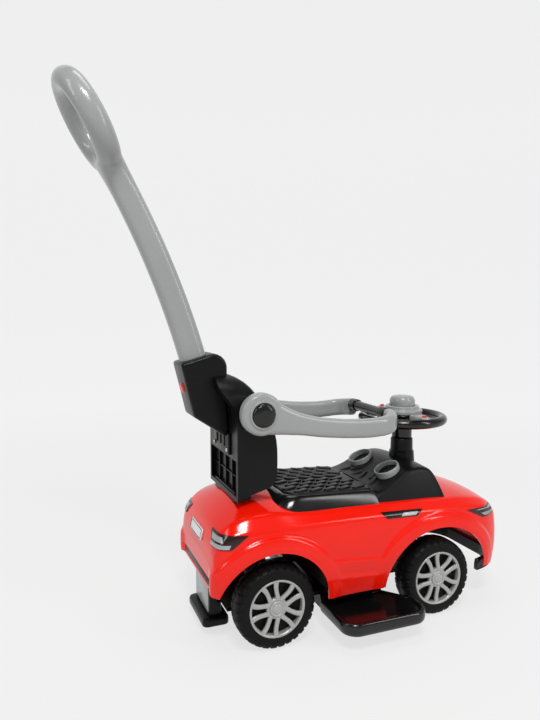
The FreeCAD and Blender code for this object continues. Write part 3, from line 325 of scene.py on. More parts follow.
def copied(piece, name, matrix):
    """Copy of a piece with its own mesh, moved by a matrix."""
    twin = piece.copy()
    twin.data = piece.data.copy()
    twin.name = name
    bpy.context.scene.collection.objects.link(twin)
    twin.data.transform(matrix)
    if matrix.determinant() < 0:
        twin.data.flip_normals()
    return twin


def dress(piece, body, nodes, slot, angle=35.0):
    """Smooths a finished piece, gives it the finish of its slot, ties it to its body and hides the nodes it
    stands for.
    """
    pick(piece)
    bpy.ops.object.shade_smooth_by_angle(angle=math.radians(angle))
    piece.data.materials.clear()
    piece.data.materials.append(finish_of(slot))
    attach(piece, body)
    if nodes:
        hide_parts(*nodes)
    return piece


def smooth_copy(node, slot=None, angle=35.0):
    """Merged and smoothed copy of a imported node, which it replaces."""
    source = frame["nodes"][node]
    twin = source.copy()
    twin.data = source.data.copy()
    twin.parent = None
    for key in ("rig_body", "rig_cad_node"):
        del twin[key]
    twin.name = node + "_piece"
    bpy.context.scene.collection.objects.link(twin)
    edited(twin, bpy.ops.mesh.remove_doubles, threshold=0.01 * MM)
    return dress(twin, node_body[node], [node], slot or node_slot[node], angle)


# Finishes
def add(tree, kind, links=(), **settings):
    """Adds a node, sets its sockets and attributes, and links sockets to it."""
    node = tree.nodes.new(kind)
    for key, value in settings.items():
        if key in node.inputs:
            node.inputs[key].default_value = value
        else:
            setattr(node, key, value)
    for name, source in links:
        tree.links.new(source, node.inputs[name])
    return node


# Each finish: name, mottle as a share of the colour, roughness low and high, grain in mm, bump in mm,
# metal share and specular level. The real grain is finer than the render can show, so it is drawn coarser.
finish_rows = {
    # Injection moulded ABS from a polished tool: deep even colour and sharp, slightly wavy reflections
    "red_shell": ("gloss_moulded_red_abs", 0.86, 0.10, 0.18, 9.0, 0.012, 0.0, 0.34),
    # The same in black: the colour sinks and only the lamps' reflections show
    "gloss_black": ("gloss_moulded_black_abs", 1.5, 0.10, 0.22, 8.0, 0.02, 0.0, 0.45),
    # Polypropylene from a brushed tool: a soft sheen along edges on a dark ground
    "satin_black": ("satin_moulded_black_pp", 1.4, 0.26, 0.38, 1.6, 0.025, 0.0, 0.17),
    # Polypropylene from a grained tool: the fine grain breaks the sheen up
    "seat_black": ("grained_moulded_black_pp", 1.5, 0.30, 0.44, 1.8, 0.04, 0.0, 0.2),
    # Blow moulded polypropylene: faint flow marks and long soft highlights on a cool grey
    "grey_plastic": ("flow_marked_grey_pp", 0.80, 0.16, 0.28, 26.0, 0.02, 0.0, 0.5),
    # Small gloss buttons: saturated red with one clear highlight
    "red_accent": ("gloss_moulded_red_accent", 0.80, 0.16, 0.26, 6.0, 0.015, 0.0, 0.5),
    # Blow moulded polyethylene tyre: waxy and dull, with a fine uneven skin
    "wheel_black": ("blow_moulded_black_pe", 1.5, 0.42, 0.56, 2.4, 0.05, 0.0, 0.12),
    # Silver paint on ABS: fine flakes that brighten towards the light
    "rim_silver": ("silver_painted_abs", 0.86, 0.28, 0.40, 3.0, 0.012, 0.3, 0.5),
    # Zinc plated steel: bright metal, a little cloudy
    "steel": ("zinc_plated_steel", 0.85, 0.28, 0.42, 1.2, 0.01, 1.0, 0.5),
    # Dark transparent print on a polished film: black red with a hard reflection
    "lamp_film": ("dark_gloss_lamp_film", 1.9, 0.06, 0.14, 5.0, 0.005, 0.0, 0.5),
    # White vinyl film: even and slightly glossy
    "plate_white": ("white_gloss_film", 0.92, 0.25, 0.35, 6.0, 0.005, 0.0, 0.5),
    # Silver print on film: pale grey with a weak metallic lift
    "silver_film": ("silver_print_film", 0.82, 0.24, 0.38, 4.0, 0.005, 0.3, 0.5),
}


def finish_of(slot):
    """Material of a slot, made on first use: a mottled colour, uneven gloss and a fine moulded grain."""
    title, mottle, smooth, rough, grain, depth, metal, specular = finish_rows[slot]
    if title in bpy.data.materials:
        return bpy.data.materials[title]
    colour = Vector(getattr(bpy.context.scene.push_car_colours, slot))
    paint = bpy.data.materials.new(title)
    paint.use_nodes = True
    tree = paint.node_tree
    tree.nodes.clear()
    place = add(tree, "ShaderNodeTexCoord").outputs["Object"]
    broad = add(tree, "ShaderNodeTexNoise", [("Vector", place)], Scale=1 / (grain * 6 * MM), Detail=3.0)
    fine = add(tree, "ShaderNodeTexNoise", [("Vector", place)],
               Scale=1 / (grain * MM), Detail=4.0, Roughness=0.6)
    # A Mix node's colour sockets share their names with others, so they are picked by number
    tint = add(tree, "ShaderNodeMix", [("Factor", broad.outputs["Fac"])], data_type="RGBA")
    tint.inputs[6].default_value = (*colour, 1)
    tint.inputs[7].default_value = (*(colour * mottle), 1)
    gloss = add(tree, "ShaderNodeMapRange", [("Value", broad.outputs["Fac"])],
                **{"To Min": smooth, "To Max": rough})
    bump = add(tree, "ShaderNodeBump", [("Height", fine.outputs["Fac"])], Strength=0.6, Distance=depth * MM)
    shade = add(tree, "ShaderNodeBsdfPrincipled", [
        ("Base Color", tint.outputs[2]),
        ("Roughness", gloss.outputs["Result"]),
        ("Normal", bump.outputs["Normal"]),
    ], Metallic=metal, **{"Specular IOR Level": specular})
    add(tree, "ShaderNodeOutputMaterial", [("Surface", shade.outputs["BSDF"])])
    return paint


# Shell
def station_lines(count):
    """Stations of the shell, spaced evenly along a smooth curve through the table."""
    knots = np.array(body_stations)
    steps = np.linalg.norm(np.diff(knots[:, :3], axis=0), axis=1)
    place = np.concatenate([[0.0], np.cumsum(steps)])
    slopes = np.gradient(knots, place, axis=0)
    lines = []
    for s in np.linspace(0, place[-1], count):
        index = min(max(int(np.searchsorted(place, s)) - 1, 0), len(steps) - 1)
        h = steps[index]
        t = (s - place[index]) / h
        a, b = knots[index], knots[index + 1]
        lines.append((2 * t ** 3 - 3 * t ** 2 + 1) * a + (t ** 3 - 2 * t ** 2 + t) * h * slopes[index]
                     + (3 * t ** 2 - 2 * t ** 3) * b + (t ** 3 - t ** 2) * h * slopes[index + 1])
    return lines


def half_section(station):
    """Half of a cross section of the shell from its lower edge to the middle of its top, as (y, z)."""
    half, top, waist, low = station[1:]
    side = low + (waist - low) * 0.52
    heights = np.linspace(low, waist, flank_points)
    low_y, waist_y = half * 0.94, half * 0.95
    flank = (low_y * (heights - side) * (heights - waist) / ((low - side) * (low - waist))
             + half * (heights - low) * (heights - waist) / ((side - low) * (side - waist))
             + waist_y * (heights - low) * (heights - side) / ((waist - low) * (waist - side)))
    deck_y, deck_z = half * 0.82, waist + (top - waist) * 0.55
    shares = np.linspace(0, 1, shoulder_points + 1)[1:]
    shoulder = np.column_stack([waist_y + (deck_y - waist_y) * shares, waist + (deck_z - waist) * shares])
    across = np.linspace(1, 0, deck_points + 1)[1:]
    deck = np.column_stack([deck_y * across, top - (top - deck_z) * across ** 2])
    line = np.concatenate([np.column_stack([flank, heights]), shoulder, deck])
    line[1:-1] = (line[:-2] + 2 * line[1:-1] + line[2:]) / 4
    return line


def arch_distance(x, z, arch):
    """Distance outside an arch's edge, in millimetres."""
    middle, span, rise = arch
    return (math.hypot((x - middle) / span, (z - wheel_height) / rise) - 1) * (span + rise) / 2


def relief(x, y, z):
    """How far the shell's skin stands out at a point: flared arches, door ridges and the bumper slot."""
    flare_rise, flare_swell, lip_sink = 4.6, 1.8, 1.3
    ridge_upper, ridge_lower, ridge_blend = 2.4, 2.0, 1.6
    slot_sink, slot_height = 2.4, 112.5
    out = 0.0
    # Flares round the arches with a rolled lip, which fade out towards the middle of the tail and nose
    if z < 212:
        for arch in (rear_arch, front_arch):
            gap = arch_distance(x, z, arch)
            flare = (1 - ease(22, 29, gap)) * (flare_rise + flare_swell * (1 - ease(0, 28, gap)))
            lip = lip_sink * (1 - ease(3.0, 5.5, gap))
            out = max(out, (flare - lip) * ease(84, 106, abs(y)))
    # Two ridges along the door between the arches
    if 95 < x < 212 and abs(y) > 100:
        along = ease(98, 110, x) * (1 - ease(196, 208, x))
        upper = 139 - (x - 106) * 0.097
        lower = 110 - (x - 109) * 0.077
        step = ridge_upper * ease(upper + ridge_blend, upper - ridge_blend, z)
        step += ridge_lower * ease(lower + ridge_blend, lower - ridge_blend, z)
        out = max(out, step * along)
    # Shallow slot across the tail
    if x < -84:
        out -= slot_sink * (1 - ease(5.5, 7.0, abs(z - slot_height))) * (1 - ease(87, 91, abs(y)))
    return out


def shell_rings():
    """Rings of the shell's skin from tail to nose, each from the right lower edge over to the left."""
    rows = []
    for station in station_lines(station_count):
        half = half_section(station)
        left = [(station[0], y, z) for y, z in half]
        rows.append([(x, -y, z) for x, y, z in left] + left[-2::-1])
    caps = [1 - step / cap_rings for step in range(1, cap_rings)] + [0.0]
    first = [[(x, y * share, z) for x, y, z in rows[0]] for share in reversed(caps)]
    last = [[(x, y * share, z) for x, y, z in rows[-1]] for share in caps]
    return np.array(first + rows + last)


def shell_skin():
    """Outer skin of the shell with its relief, as an array of points in millimetres."""
    base = shell_rings()
    along = np.gradient(base, axis=0)
    around = np.gradient(base, axis=1)
    normal = np.cross(along, around)
    size = np.linalg.norm(normal, axis=2, keepdims=True)
    normal = np.where(size > 1e-9, normal / np.maximum(size, 1e-9), 0)
    middle = base.mean(axis=(0, 1))
    if np.sum(normal * (base - middle)) < 0:
        normal = -normal
    lift = np.vectorize(relief)(base[..., 0], base[..., 1], base[..., 2])
    return base + normal * lift[..., None]


shell_points = shell_skin()


def flank_y(x, z):
    """Half width of the dressed shell at a place on its side."""
    rows = shell_points[cap_rings:-cap_rings]
    index = int(np.argmin(np.abs(rows[:, flank_points - 6, 0] - x)))
    half = rows[index][:flank_points + shoulder_points + 6]
    order = np.argsort(half[:, 2])
    return float(np.interp(z, half[order, 2], np.abs(half[order, 1])))


def tail_line(z):
    """Horizontal section of the right tail corner at a height, as (x, y) from the tail to the flank."""
    spots = []
    for row in shell_points[cap_rings:cap_rings + tail_rings]:
        half = row[:half_points]
        if half[:, 2].max() > z:
            half = half[np.argsort(half[:, 2])]
            spots.append([np.interp(z, half[:, 2], half[:, axis]) for axis in (0, 1)])
    return np.array(spots)


class PUSHCAR_OT_shell(Operator):
    """Red shell: lofted skin with flared arches, a wall, the arch openings and the seat opening"""
    bl_idname = "pushcar.shell"
    bl_label = "Shell"

    def execute(self, context):
        sizes = context.scene.push_car
        rings = [[at(*point) for point in ring] for ring in shell_points]
        shell = skin("shell", rings, closed=False)
        top = max(shell.data.polygons, key=lambda face: face.center.z)
        if top.normal.z < 0:
            shell.data.flip_normals()
        modifier(shell, "SOLIDIFY", thickness=sizes.shell_wall, offset=-1.0)
        # Wheel arches, seat opening and the hole for the steering column
        drum = bpy.ops.mesh.primitive_cylinder_add
        for middle, span, rise in (rear_arch, front_arch):
            opening = primitive(drum, vertices=128, radius=1, depth=1, location=at(middle, 0, wheel_height),
                                rotation=(math.pi / 2, 0, 0), scale=(span * MM, rise * MM, 340 * MM))
            carve(shell, opening)
        carve(shell, block("seat_cutter", (30, -84, 190), (212, 84, 290)))
        carve(shell, primitive(drum, vertices=48, radius=20 * MM, depth=0.1, location=at(column_x, 0, 230)))
        dress(shell, "car", ["body_shell"], "red_shell", 40.0)
        return {"FINISHED"}


# Middle line of the console from the seat to the bonnet as (x, z)
console_crest = (
    (214.4, 238.5), (228, 241.5), (243, 247.0), (258, 255.5), (272, 264.0), (284, 269.8), (296, 272.6),
    (316, 273.2), (332, 270.0), (341, 260.0), (350, 240.0), (357, 222.0), (363, 203.0),
)
# Fall of the seat towards the front
seat_slope = -9.0 / 210.0


def crest_height(x):
    """Height of the console's middle line."""
    return float(np.interp(x, [row[0] for row in console_crest], [row[1] for row in console_crest]))


def seat_line(x):
    """Height of the sloping seat plane."""
    return 249.0 + (x - 4.0) * seat_slope


class PUSHCAR_OT_seat(Operator):
    """Gloss skirt round the seat, and the lid with its raised tread"""
    bl_idname = "pushcar.seat"
    bl_label = "Seat"

    def execute(self, context):
        sizes = context.scene.push_car
        outer = outline([(4, -109, 44), (214, -109, 0.6), (214, 109, 0.6), (4, 109, 44)], 12, 14)
        inner = outline([(38.5, -88.5, 26), (208.5, -88.5, 8), (208.5, 88.5, 8), (38.5, 88.5, 26)], 12, 14)
        levels = ((0.0, -36), (0.02, -27), (0.2, -18.5), (0.42, -9.6), (0.62, -3.6), (0.74, -0.9),
                  (0.8, -0.2), (0.86, 0.0), (0.96, -0.1), (0.99, -0.6), (1.0, -1.6), (1.0, -20), (0.3, -31))

        def on_seat(u, v, h):
            return at(u, v, seat_line(u) + h)

        skirt = stack("seat_skirt", outer, inner, levels, on_seat, True)
        strip = block("strip", (209.5, -101, 222), (214.2, 101, 234.5), 0.8, 2)
        dress(joined("seat_skirt", [skirt, strip]), "car", ["seat_frame"], "gloss_black", 40.0)
        plan = outline([(40, -87, 26), (207, -87, 8), (207, 87, 8), (40, 87, 26)], 12, 14)
        inset = outline([(50, -77, 18), (199, -77, 5), (199, 77, 5), (50, 77, 18)], 12, 14)
        levels = ((0.0, -9.5), (0.0, -1), (0.06, 0.6), (0.2, 1.6), (0.4, 2.0), (1.0, 1.2))
        lid = stack("seat_pad", plan, inset, levels, on_seat)
        lugs = [block("lug", (198, side * 40, 235), (214.2, side * 58, 241.6), 3, 3) for side in (1, -1)]
        lid = joined("seat_pad", [lid] + lugs)
        dress(lid, "lid", ["seat_lid"], "seat_black", 35.0)
        # One dash at the origin, copied in slanted rows over the lid and onto the foot of the console
        half = sizes.dash_length / MM / 2
        middle = -axle_x / MM
        dash = block("dash", (middle - half, -5.4, -2.6), (middle + half, 5.4, 2.6), 2.2, 3)
        row_step, column_step = 29.0, 20.5
        dashes = []
        console_dashes = []
        for column in range(4):
            for row in range(8):
                x = 56 + row * row_step + (row_step / 2 if column % 2 else 0)
                for side in (1, -1):
                    y = side * (11.0 + column * column_step)
                    if x < 192:
                        target, level, slope = dashes, seat_line(x) + 1.6, seat_slope
                    elif 222 < x < 250 and column < 3:
                        target, level, slope = console_dashes, crest_height(x) + 0.6, 0.44
                    else:
                        continue
                    place = Matrix.Translation(at(x, y, level))
                    place = place @ Matrix.Rotation(-math.atan(slope), 4, "Y")
                    place = place @ Matrix.Rotation(-side * sizes.dash_slant, 4, "Z")
                    target.append(copied(dash, "dash", place))
        bpy.data.objects.remove(dash, do_unlink=True)
        dress(joined("seat_tread", dashes), "lid", [], "seat_black", 40.0)
        dress(joined("console_tread", console_dashes), "car", [], "seat_black", 40.0)
        return {"FINISHED"}


class PUSHCAR_OT_console(Operator):
    """Dashboard with the dials and the foot of the steering column"""
    bl_idname = "pushcar.console"
    bl_label = "Console"

    def execute(self, context):
        rings = []
        for x, top in rounded(console_crest, 7, 3):
            share = (top - 200) / 73
            half = 108 - 18 * max(share, 0.0)
            foot = 109.0
            low = 197 - 4 * (x - 214) / 150
            side = rounded(((foot, low), (half, top - 2), (half * 0.6, top + 0.6), (0, top + 1.5)), 8, 6)
            right = [at(x, -y, min(z, top + 1.5)) for y, z in side]
            left = [at(x, y, min(z, top + 1.5)) for y, z in reversed(side[:-1])]
            rings.append(right + left)
        body = skin("console", capped(rings))
        profile = ((0, -62), (27, -62), (25.5, -40), (24.4, -27), (22.4, -25.5), (22.0, -2.5), (20.6, -0.3),
                   (0, -0.3))
        column = turned("column_foot", rounded(profile, 1.6, 4),
                        lambda u, v, h: at(column_x + u, v, collar_height + h), 56)
        dress(joined("console_piece", [body, column]), "car", ["console"], "satin_black", 32.0)
        tilt = math.radians(24)
        ring_profile = ((20.6, -12), (24.4, -12), (24.8, 9.0), (24.2, 11), (22.4, 11), (21.6, 9.0),
                        (20.6, -12))
        cup_profile = ((0, 1), (9, 1), (10, -1), (20.9, -2), (20.9, -13), (0, -13))
        for side, sign in SIDES:
            def on_dial(u, v, h, sign=sign):
                back, up = math.cos(tilt), math.sin(tilt)
                return at(264 + u * back - h * up, sign * 51 + v, 259 + u * up + h * back)
            ring = turned(f"dial_ring_{side}", rounded(ring_profile, 0.9, 3), on_dial, 64)
            dress(ring, "car", ["dial_bezels"], "grey_plastic", 40.0)
            cup = turned(f"dial_cup_{side}", rounded(cup_profile, 0.8, 3), on_dial, 48)
            dress(cup, "car", ["dial_faces"], "satin_black", 40.0)
        return {"FINISHED"}


class PUSHCAR_OT_steering_wheel(Operator):
    """Steering wheel with its grey hub, horn dome, spoke inserts and buttons"""
    bl_idname = "pushcar.steering_wheel"
    bl_label = "Steering wheel"

    def execute(self, context):
        sizes = context.scene.push_car

        def on_wheel(u, v, h):
            return at(column_x + u, v, steering_height + h)

        rim = primitive(bpy.ops.mesh.primitive_torus_add, location=on_wheel(0, 0, 0),
                        major_segments=96, minor_segments=24,
                        major_radius=sizes.steering_radius, minor_radius=sizes.steering_tube / 2)
        profile = ((0, -39.5), (20, -39.5), (20, -16), (30, -9), (38, -6), (38, 9.8), (0, 9.8))
        boss = turned("boss", rounded(profile, 3, 4), on_wheel, 56)
        spokes = []
        for sign in (1, -1):
            rings = []
            for share in (0, 0.15, 0.5, 0.85, 1.0):
                y = 30 + 46 * share
                width = 30 - 5 * math.sin(math.pi * share)
                rings.append([on_wheel(u, sign * y, v) for u, v in oval(width, 11.6, 5.0, 32)])
            spokes.append(skin("spoke", capped(rings)))
        rim = joined("steering_rim", [rim, boss] + spokes)
        dress(rim, "steering", ["steering_wheel"], "gloss_black", 40.0)
        profile = ((0, 10), (38.5, 10), (40, 11.5), (40, 17), (37.5, 19), (34, 19.5), (33.5, 24.5),
                   (31.5, 26), (26, 26), (25.9, 14), (0, 14))
        hub = turned("steering_hub_piece", rounded(profile, 1.6, 4), on_wheel, 72)
        dress(hub, "steering", ["steering_hub"], "grey_plastic", 35.0)
        profile = ((0, 23), (25.4, 23), (25.4, 36), (22, 43.5), (12, 45.3), (0, 45.5))
        horn = turned("horn_dome", rounded(profile, 5, 6), on_wheel, 64)
        dress(horn, "horn", ["horn_button"], "grey_plastic", 40.0)
        plates = []
        for sign in (1, -1):
            def on_side(u, v, h, sign=sign):
                return on_wheel(u, sign * v, h)

            plan = outline([(-14, 42, 6), (14, 42, 6), (12, 72, 9), (-12, 72, 9)], 6, 4)
            top = outline([(-12, 44, 5), (12, 44, 5), (10, 70, 7), (-10, 70, 7)], 6, 4)
            plates.append(stack("insert", plan, top, ((0, 5.5), (0, 11), (0.4, 12.8), (1, 13.4)), on_side))
            bridge = outline([(-9, 66, 4), (9, 66, 4), (9, 84, 7), (-9, 84, 7)], 6, 4)
            crown = outline([(-7, 68, 3), (7, 68, 3), (7, 82, 5), (-7, 82, 5)], 6, 4)
            plates.append(stack("bridge", bridge, crown, ((0, 9), (0, 11), (0.5, 12.4), (1, 12.8)), on_side))
        dress(joined("spoke_inserts", plates), "steering", ["steering_inserts"], "grey_plastic", 40.0)
        profile = ((0, 12.4), (4.5, 12.4), (4.5, 15), (3.4, 16), (0, 16.2))
        for side, sign in SIDES:
            button = turned(f"spoke_button_{side}", rounded(profile, 0.8, 3),
                            lambda u, v, h, sign=sign: on_wheel(u, sign * 76 + v, h), 32)
            dress(button, f"wheel_button_{side}", [f"steering_button_{side}"], "red_accent", 40.0)
        return {"FINISHED"}


# Front line of the backrest as (z, x)
back_front = (
    (243, -51.0), (247, -42.0), (252, -30.0), (257, -16.0), (261, 0.0), (265, 12.0), (271, 19.5), (279, 25.0),
    (290, 28.5), (312, 30.5), (330, 29.0), (347, 25.0), (370, 15.0), (392, 4.0), (410, -5.5), (424, -13.0),
    (436, -21.0), (446, -30.0), (454, -41.0), (458, -50.0),
)


def on_pivot(sign):
    """Placing function for pieces turned round the guard's pivot, on the left or the right."""
    return lambda u, v, h: at(pivot_x + u, sign * h, pivot_height + v)


class PUSHCAR_OT_backrest(Operator):
    """Bucket backrest with a ribbed hollow at its rear"""
    bl_idname = "pushcar.backrest"
    bl_label = "Backrest"

    def execute(self, context):
        heights, fronts = zip(*back_front)
        full_half, crown_half, crown_foot, crown_drop = 85.0, 12.0, 396.0, 62.0
        hollow_radius, hollow_x, edge_radius, rear_x, wing_reach = 112.0, 99.0, 5.0, -52.0, 27.0
        spans = ((243, 300, 16), (308, 400, 13), (405, 458, 16))
        rings = []
        for z in np.concatenate([np.linspace(*span) for span in spans]):
            front = float(np.interp(z, heights, fronts))
            half = full_half
            if z > crown_foot:
                half -= crown_drop * (1 - math.sqrt(max(1 - ((z - crown_foot) / 62.5) ** 2, 0.0)))
            half = max(half, crown_half)
            line = []
            for step in range(33):
                y = half * (2 * step / 32 - 1)
                hollow = hollow_x - math.sqrt(hollow_radius ** 2 - min(abs(y), 100) ** 2)
                reach = min(hollow, front) - 2.5 * math.exp(-abs(hollow - front) / 4)
                edge = half - abs(y)
                if edge < edge_radius:
                    reach -= edge_radius - math.sqrt(max(edge_radius ** 2 - (edge_radius - edge) ** 2, 0.0))
                line.append(at(max(reach, rear_x + 0.5), y, z))
            wing = wing_reach * ease(392, 446, z)
            across = np.linspace(half - 1.5, 1.5 - half, 40)
            rear = [at(rear_x - wing * ease(33, 42, abs(y)), y, z) for y in across]
            rings.append(line + rear)
        rest = skin("backrest_piece", capped(rings))
        carve(rest, block("recess", (-70, -77, 251), (-43, 77, 313)))
        ribs = [block("rib", (-47.5, y - 1.0, 250), (-42.5, y + 1.0, 314), 0.4, 2) for y in (-38, 0, 38)]
        ribs.append(block("rib", (-46.5, -78, 281), (-42.5, 78, 283), 0.4, 2))
        foot = block("foot", (-50, -60, 222), (-19, 60, 255), 2, 2)
        profile = rounded(((0, 70), (30, 70), (30, 94), (28, 96.4), (0, 96.4)), 1.5, 3)
        bosses = [turned("boss", profile, on_pivot(sign), 48) for sign in (1, -1)]
        rest = joined("backrest_piece", [rest, foot] + ribs + bosses)
        dress(rest, "car", ["backrest"], "satin_black", 40.0)
        return {"FINISHED"}


class PUSHCAR_OT_socket(Operator):
    """Socket of the push handle with its flange, screws and release button"""
    bl_idname = "pushcar.socket"
    bl_label = "Handle socket"

    def execute(self, context):
        side = [(-135.3, 479, 5), (-53.5, 502.5, 24), (-52.2, 345, 5), (-82, 365, 9), (-113, 386, 9)]
        cheek = ((-35, 9), (-35, 5), (-34, 2.4), (-31.5, 0.7), (-28, 0))
        middle = Vector((-88, 430))
        rings = []
        for y, inset in (*cheek, *((-y, inset) for y, inset in reversed(cheek))):
            ring = []
            for u, v in outline(side, 8, 6):
                away = Vector((u, v)) - middle
                point = middle + away * (1 - inset / max(away.length, 1e-6))
                ring.append(at(point.x, y, point.y))
            rings.append(ring)
        body = skin("socket", capped(rings))
        cos, sin = math.cos(stem_lean), math.sin(stem_lean)

        def on_stem(u, v, h):
            return at(stem_x + u * cos - h * sin, v, stem_height + u * sin + h * cos)

        section = oval(stem_depth + stem_play, stem_width + stem_play, stem_power, 40)
        hole = skin("stem_hole", capped([[on_stem(u, v, h) for u, v in section] for h in (-95, 40)]))
        carve(body, hole)
        flange = block("flange", (-56.2, -46, 318), (-52.1, 46, 356), 1.6, 3)
        ribs = [block("rib", (-58, y - 1.6, 330), (-54, y + 1.6, 362), 0.8, 2) for y in (-22, 0, 22)]
        dress(joined("socket_piece", [body, flange] + ribs), "car", ["handle_socket"], "satin_black", 35.0)
        profile = rounded(((0, 0), (4, 0), (4, 1.2), (2.8, 2.4), (1.4, 2.4), (1.2, 1.2), (0, 1.2)), 0.4, 2)
        screws = [turned("screw", profile, lambda u, v, h, y=y: at(-56.2 - h, y + u, 326 + v), 24)
                  for y in (38, -38)]
        dress(joined("socket_screw_heads", screws), "car", ["socket_screws"], "steel", 40.0)
        profile = ((0, -35), (8, -34.4), (10.3, -32.2), (10.5, -30), (10.5, -27.2), (0, -27.2))
        button = turned("release_button", rounded(profile, 1.5, 4), lambda u, v, h: on_stem(h, u, v - 46), 48)
        dress(button, "release", ["handle_button"], "red_accent", 40.0)
        return {"FINISHED"}


class PUSHCAR_OT_handle(Operator):
    """Push handle: curved oval stem that swells into the grip loop"""
    bl_idname = "pushcar.handle"
    bl_label = "Push handle"

    def execute(self, context):
        sizes = context.scene.push_car
        reach = sizes.stem_bend / MM
        foot = Vector((stem_x, stem_height))
        centre = foot - Vector((math.cos(stem_lean), math.sin(stem_lean))) * reach
        rings = []
        for h in (-94.6, -60, -30, 0):
            spot = foot + Vector((-math.sin(stem_lean), math.cos(stem_lean))) * h
            rings.append((spot, stem_lean, stem_depth, stem_width))
        bend_steps, flare_start, flare_width = 24, 20.5, 24
        for step in range(1, bend_steps + 1):
            share = step / bend_steps
            turn = stem_lean + sizes.stem_turn * share
            spot = centre + Vector((math.cos(turn), math.sin(turn))) * reach
            flare = flare_width * (max(step - flare_start, 0) / (bend_steps - flare_start)) ** 2
            rings.append((spot, turn, stem_depth - 4 * share, stem_width + 2 * share + flare))
        spot, turn, _, _ = rings[-1]
        up = Vector((-math.sin(turn), math.cos(turn)))
        for rise, depth, width in ((8, 42, 82), (16, 41, 96)):
            rings.append((spot + up * rise, turn, depth, width))
        lines = []
        for middle, lean_to, depth, width in rings:
            lines.append([at(middle.x + u * math.cos(lean_to), v, middle.y + u * math.sin(lean_to))
                          for u, v in oval(depth, width, stem_power, 40)])
        stem = skin("stem", capped(lines))
        # The loop's middle line is an ellipse, sunk a little into the head of the stem
        loop_length, loop_width, limb_width, limb_depth, sink = 67, 66, 41, 40, 10
        middle = spot + up * (loop_length + limb_width / 2 - sink)
        loop = []
        for step in range(72):
            along = math.cos(math.tau * step / 72)
            across = math.sin(math.tau * step / 72)
            place = middle + up * loop_length * along
            tangent = Vector((-loop_length * across, loop_width * along)).normalized()
            out = Vector((tangent.y, -tangent.x))
            ring = []
            for a, b in oval(limb_width, limb_depth, 2.1, 28):
                ring.append(at(place.x + up.x * out.x * a + math.cos(turn) * b,
                               loop_width * across + out.y * a,
                               place.y + up.y * out.x * a + math.sin(turn) * b))
            loop.append(ring)
        loop.append(loop[0])
        grip = skin("grip", loop)
        handle = joined("handle_piece", [stem, grip])
        modifier(handle, "REMESH", mode="VOXEL", voxel_size=2.6 * MM)
        modifier(handle, "SMOOTH", factor=0.5, iterations=14)
        dress(handle, "handle", ["push_handle"], "grey_plastic", 60.0)
        return {"FINISHED"}


# Straight part of a guard arm: x, height of its middle and height of its section
arm_rows = (
    (-18, 393, 60), (4, 391.5, 59), (20, 386.5, 51), (38, 380.5, 43), (55, 376, 37), (90, 368.5, 34.5),
    (140, 362.5, 33.5), (184, 360, 34), (212, 361, 34),
)
bend_x = 212.0
bend_radius = 39.0
bar_reach = 69.0
bar_x = bend_x + bend_radius


class PUSHCAR_OT_guard(Operator):
    """Swing-up guard: two grey arms with pivot drums, a black bar and black pivot caps"""
    bl_idname = "pushcar.guard"
    bl_label = "Guard"

    def execute(self, context):
        places, heights, talls = zip(*arm_rows)
        arm_rings = []
        for x in np.linspace(pivot_x, bend_x, 28):
            z = float(np.interp(x, places, heights))
            tall = float(np.interp(x, places, talls))
            arm_rings.append((x, bar_reach + bend_radius, 0.0, z, tall))
        for step in range(1, 13):
            share = step / 12
            turn = math.pi / 2 * share
            arm_rings.append((bend_x + bend_radius * math.sin(turn), bar_reach + bend_radius * math.cos(turn),
                              turn, 361 + 7 * share, 34 + 1.5 * share))
        arm_rings.append((bar_x, 65.2, math.pi / 2, 368, 35))
        lines = []
        for x, y, turn, z, tall in arm_rings:
            across = Vector((math.sin(turn), math.cos(turn)))
            lines.append([at(x + across.x * u, y + across.y * u, z + v) for u, v in oval(22, tall, 3.4, 36)])
        arm = skin("arm", capped(lines))
        modifier(arm, "SMOOTH", factor=0.5, iterations=3)
        profile = ((7.1, 97), (33, 97), (36, 99), (36, 114), (33, 118.2), (27, 119), (24.2, 119), (24, 121.4),
                   (20.6, 121.4), (20.2, 119), (7.1, 119), (7.1, 97))
        drum = turned("drum", rounded(profile, 2.4, 4), on_pivot(1), 72)
        left = joined("guard_arm_left_piece", [arm, drum])
        right = copied(left, "guard_arm_right_piece", MIRROR)
        dress(left, "guard", ["guard_arm_left"], "grey_plastic", 45.0)
        dress(right, "guard", ["guard_arm_right"], "grey_plastic", 45.0)
        profile = ((0, -66), (12.4, -66), (12.4, -46), (9.5, -43), (9.5, 43), (12.4, 46), (12.4, 66), (0, 66))
        bar = turned("guard_bar_piece", rounded(profile, 1.6, 4),
                     lambda u, v, h: at(bar_x + u, h, 374 + v), 48)
        dress(bar, "guard", ["guard_bar"], "gloss_black", 40.0)
        profile = rounded(((0, 119), (19.9, 119), (19.9, 121), (17.5, 125), (10, 126.8), (0, 127)), 3, 5)
        caps = [turned("cap", profile, on_pivot(sign), 56) for sign in (1, -1)]
        dress(joined("pivot_cap_domes", caps), "guard", ["pivot_caps"], "gloss_black", 40.0)
        return {"FINISHED"}


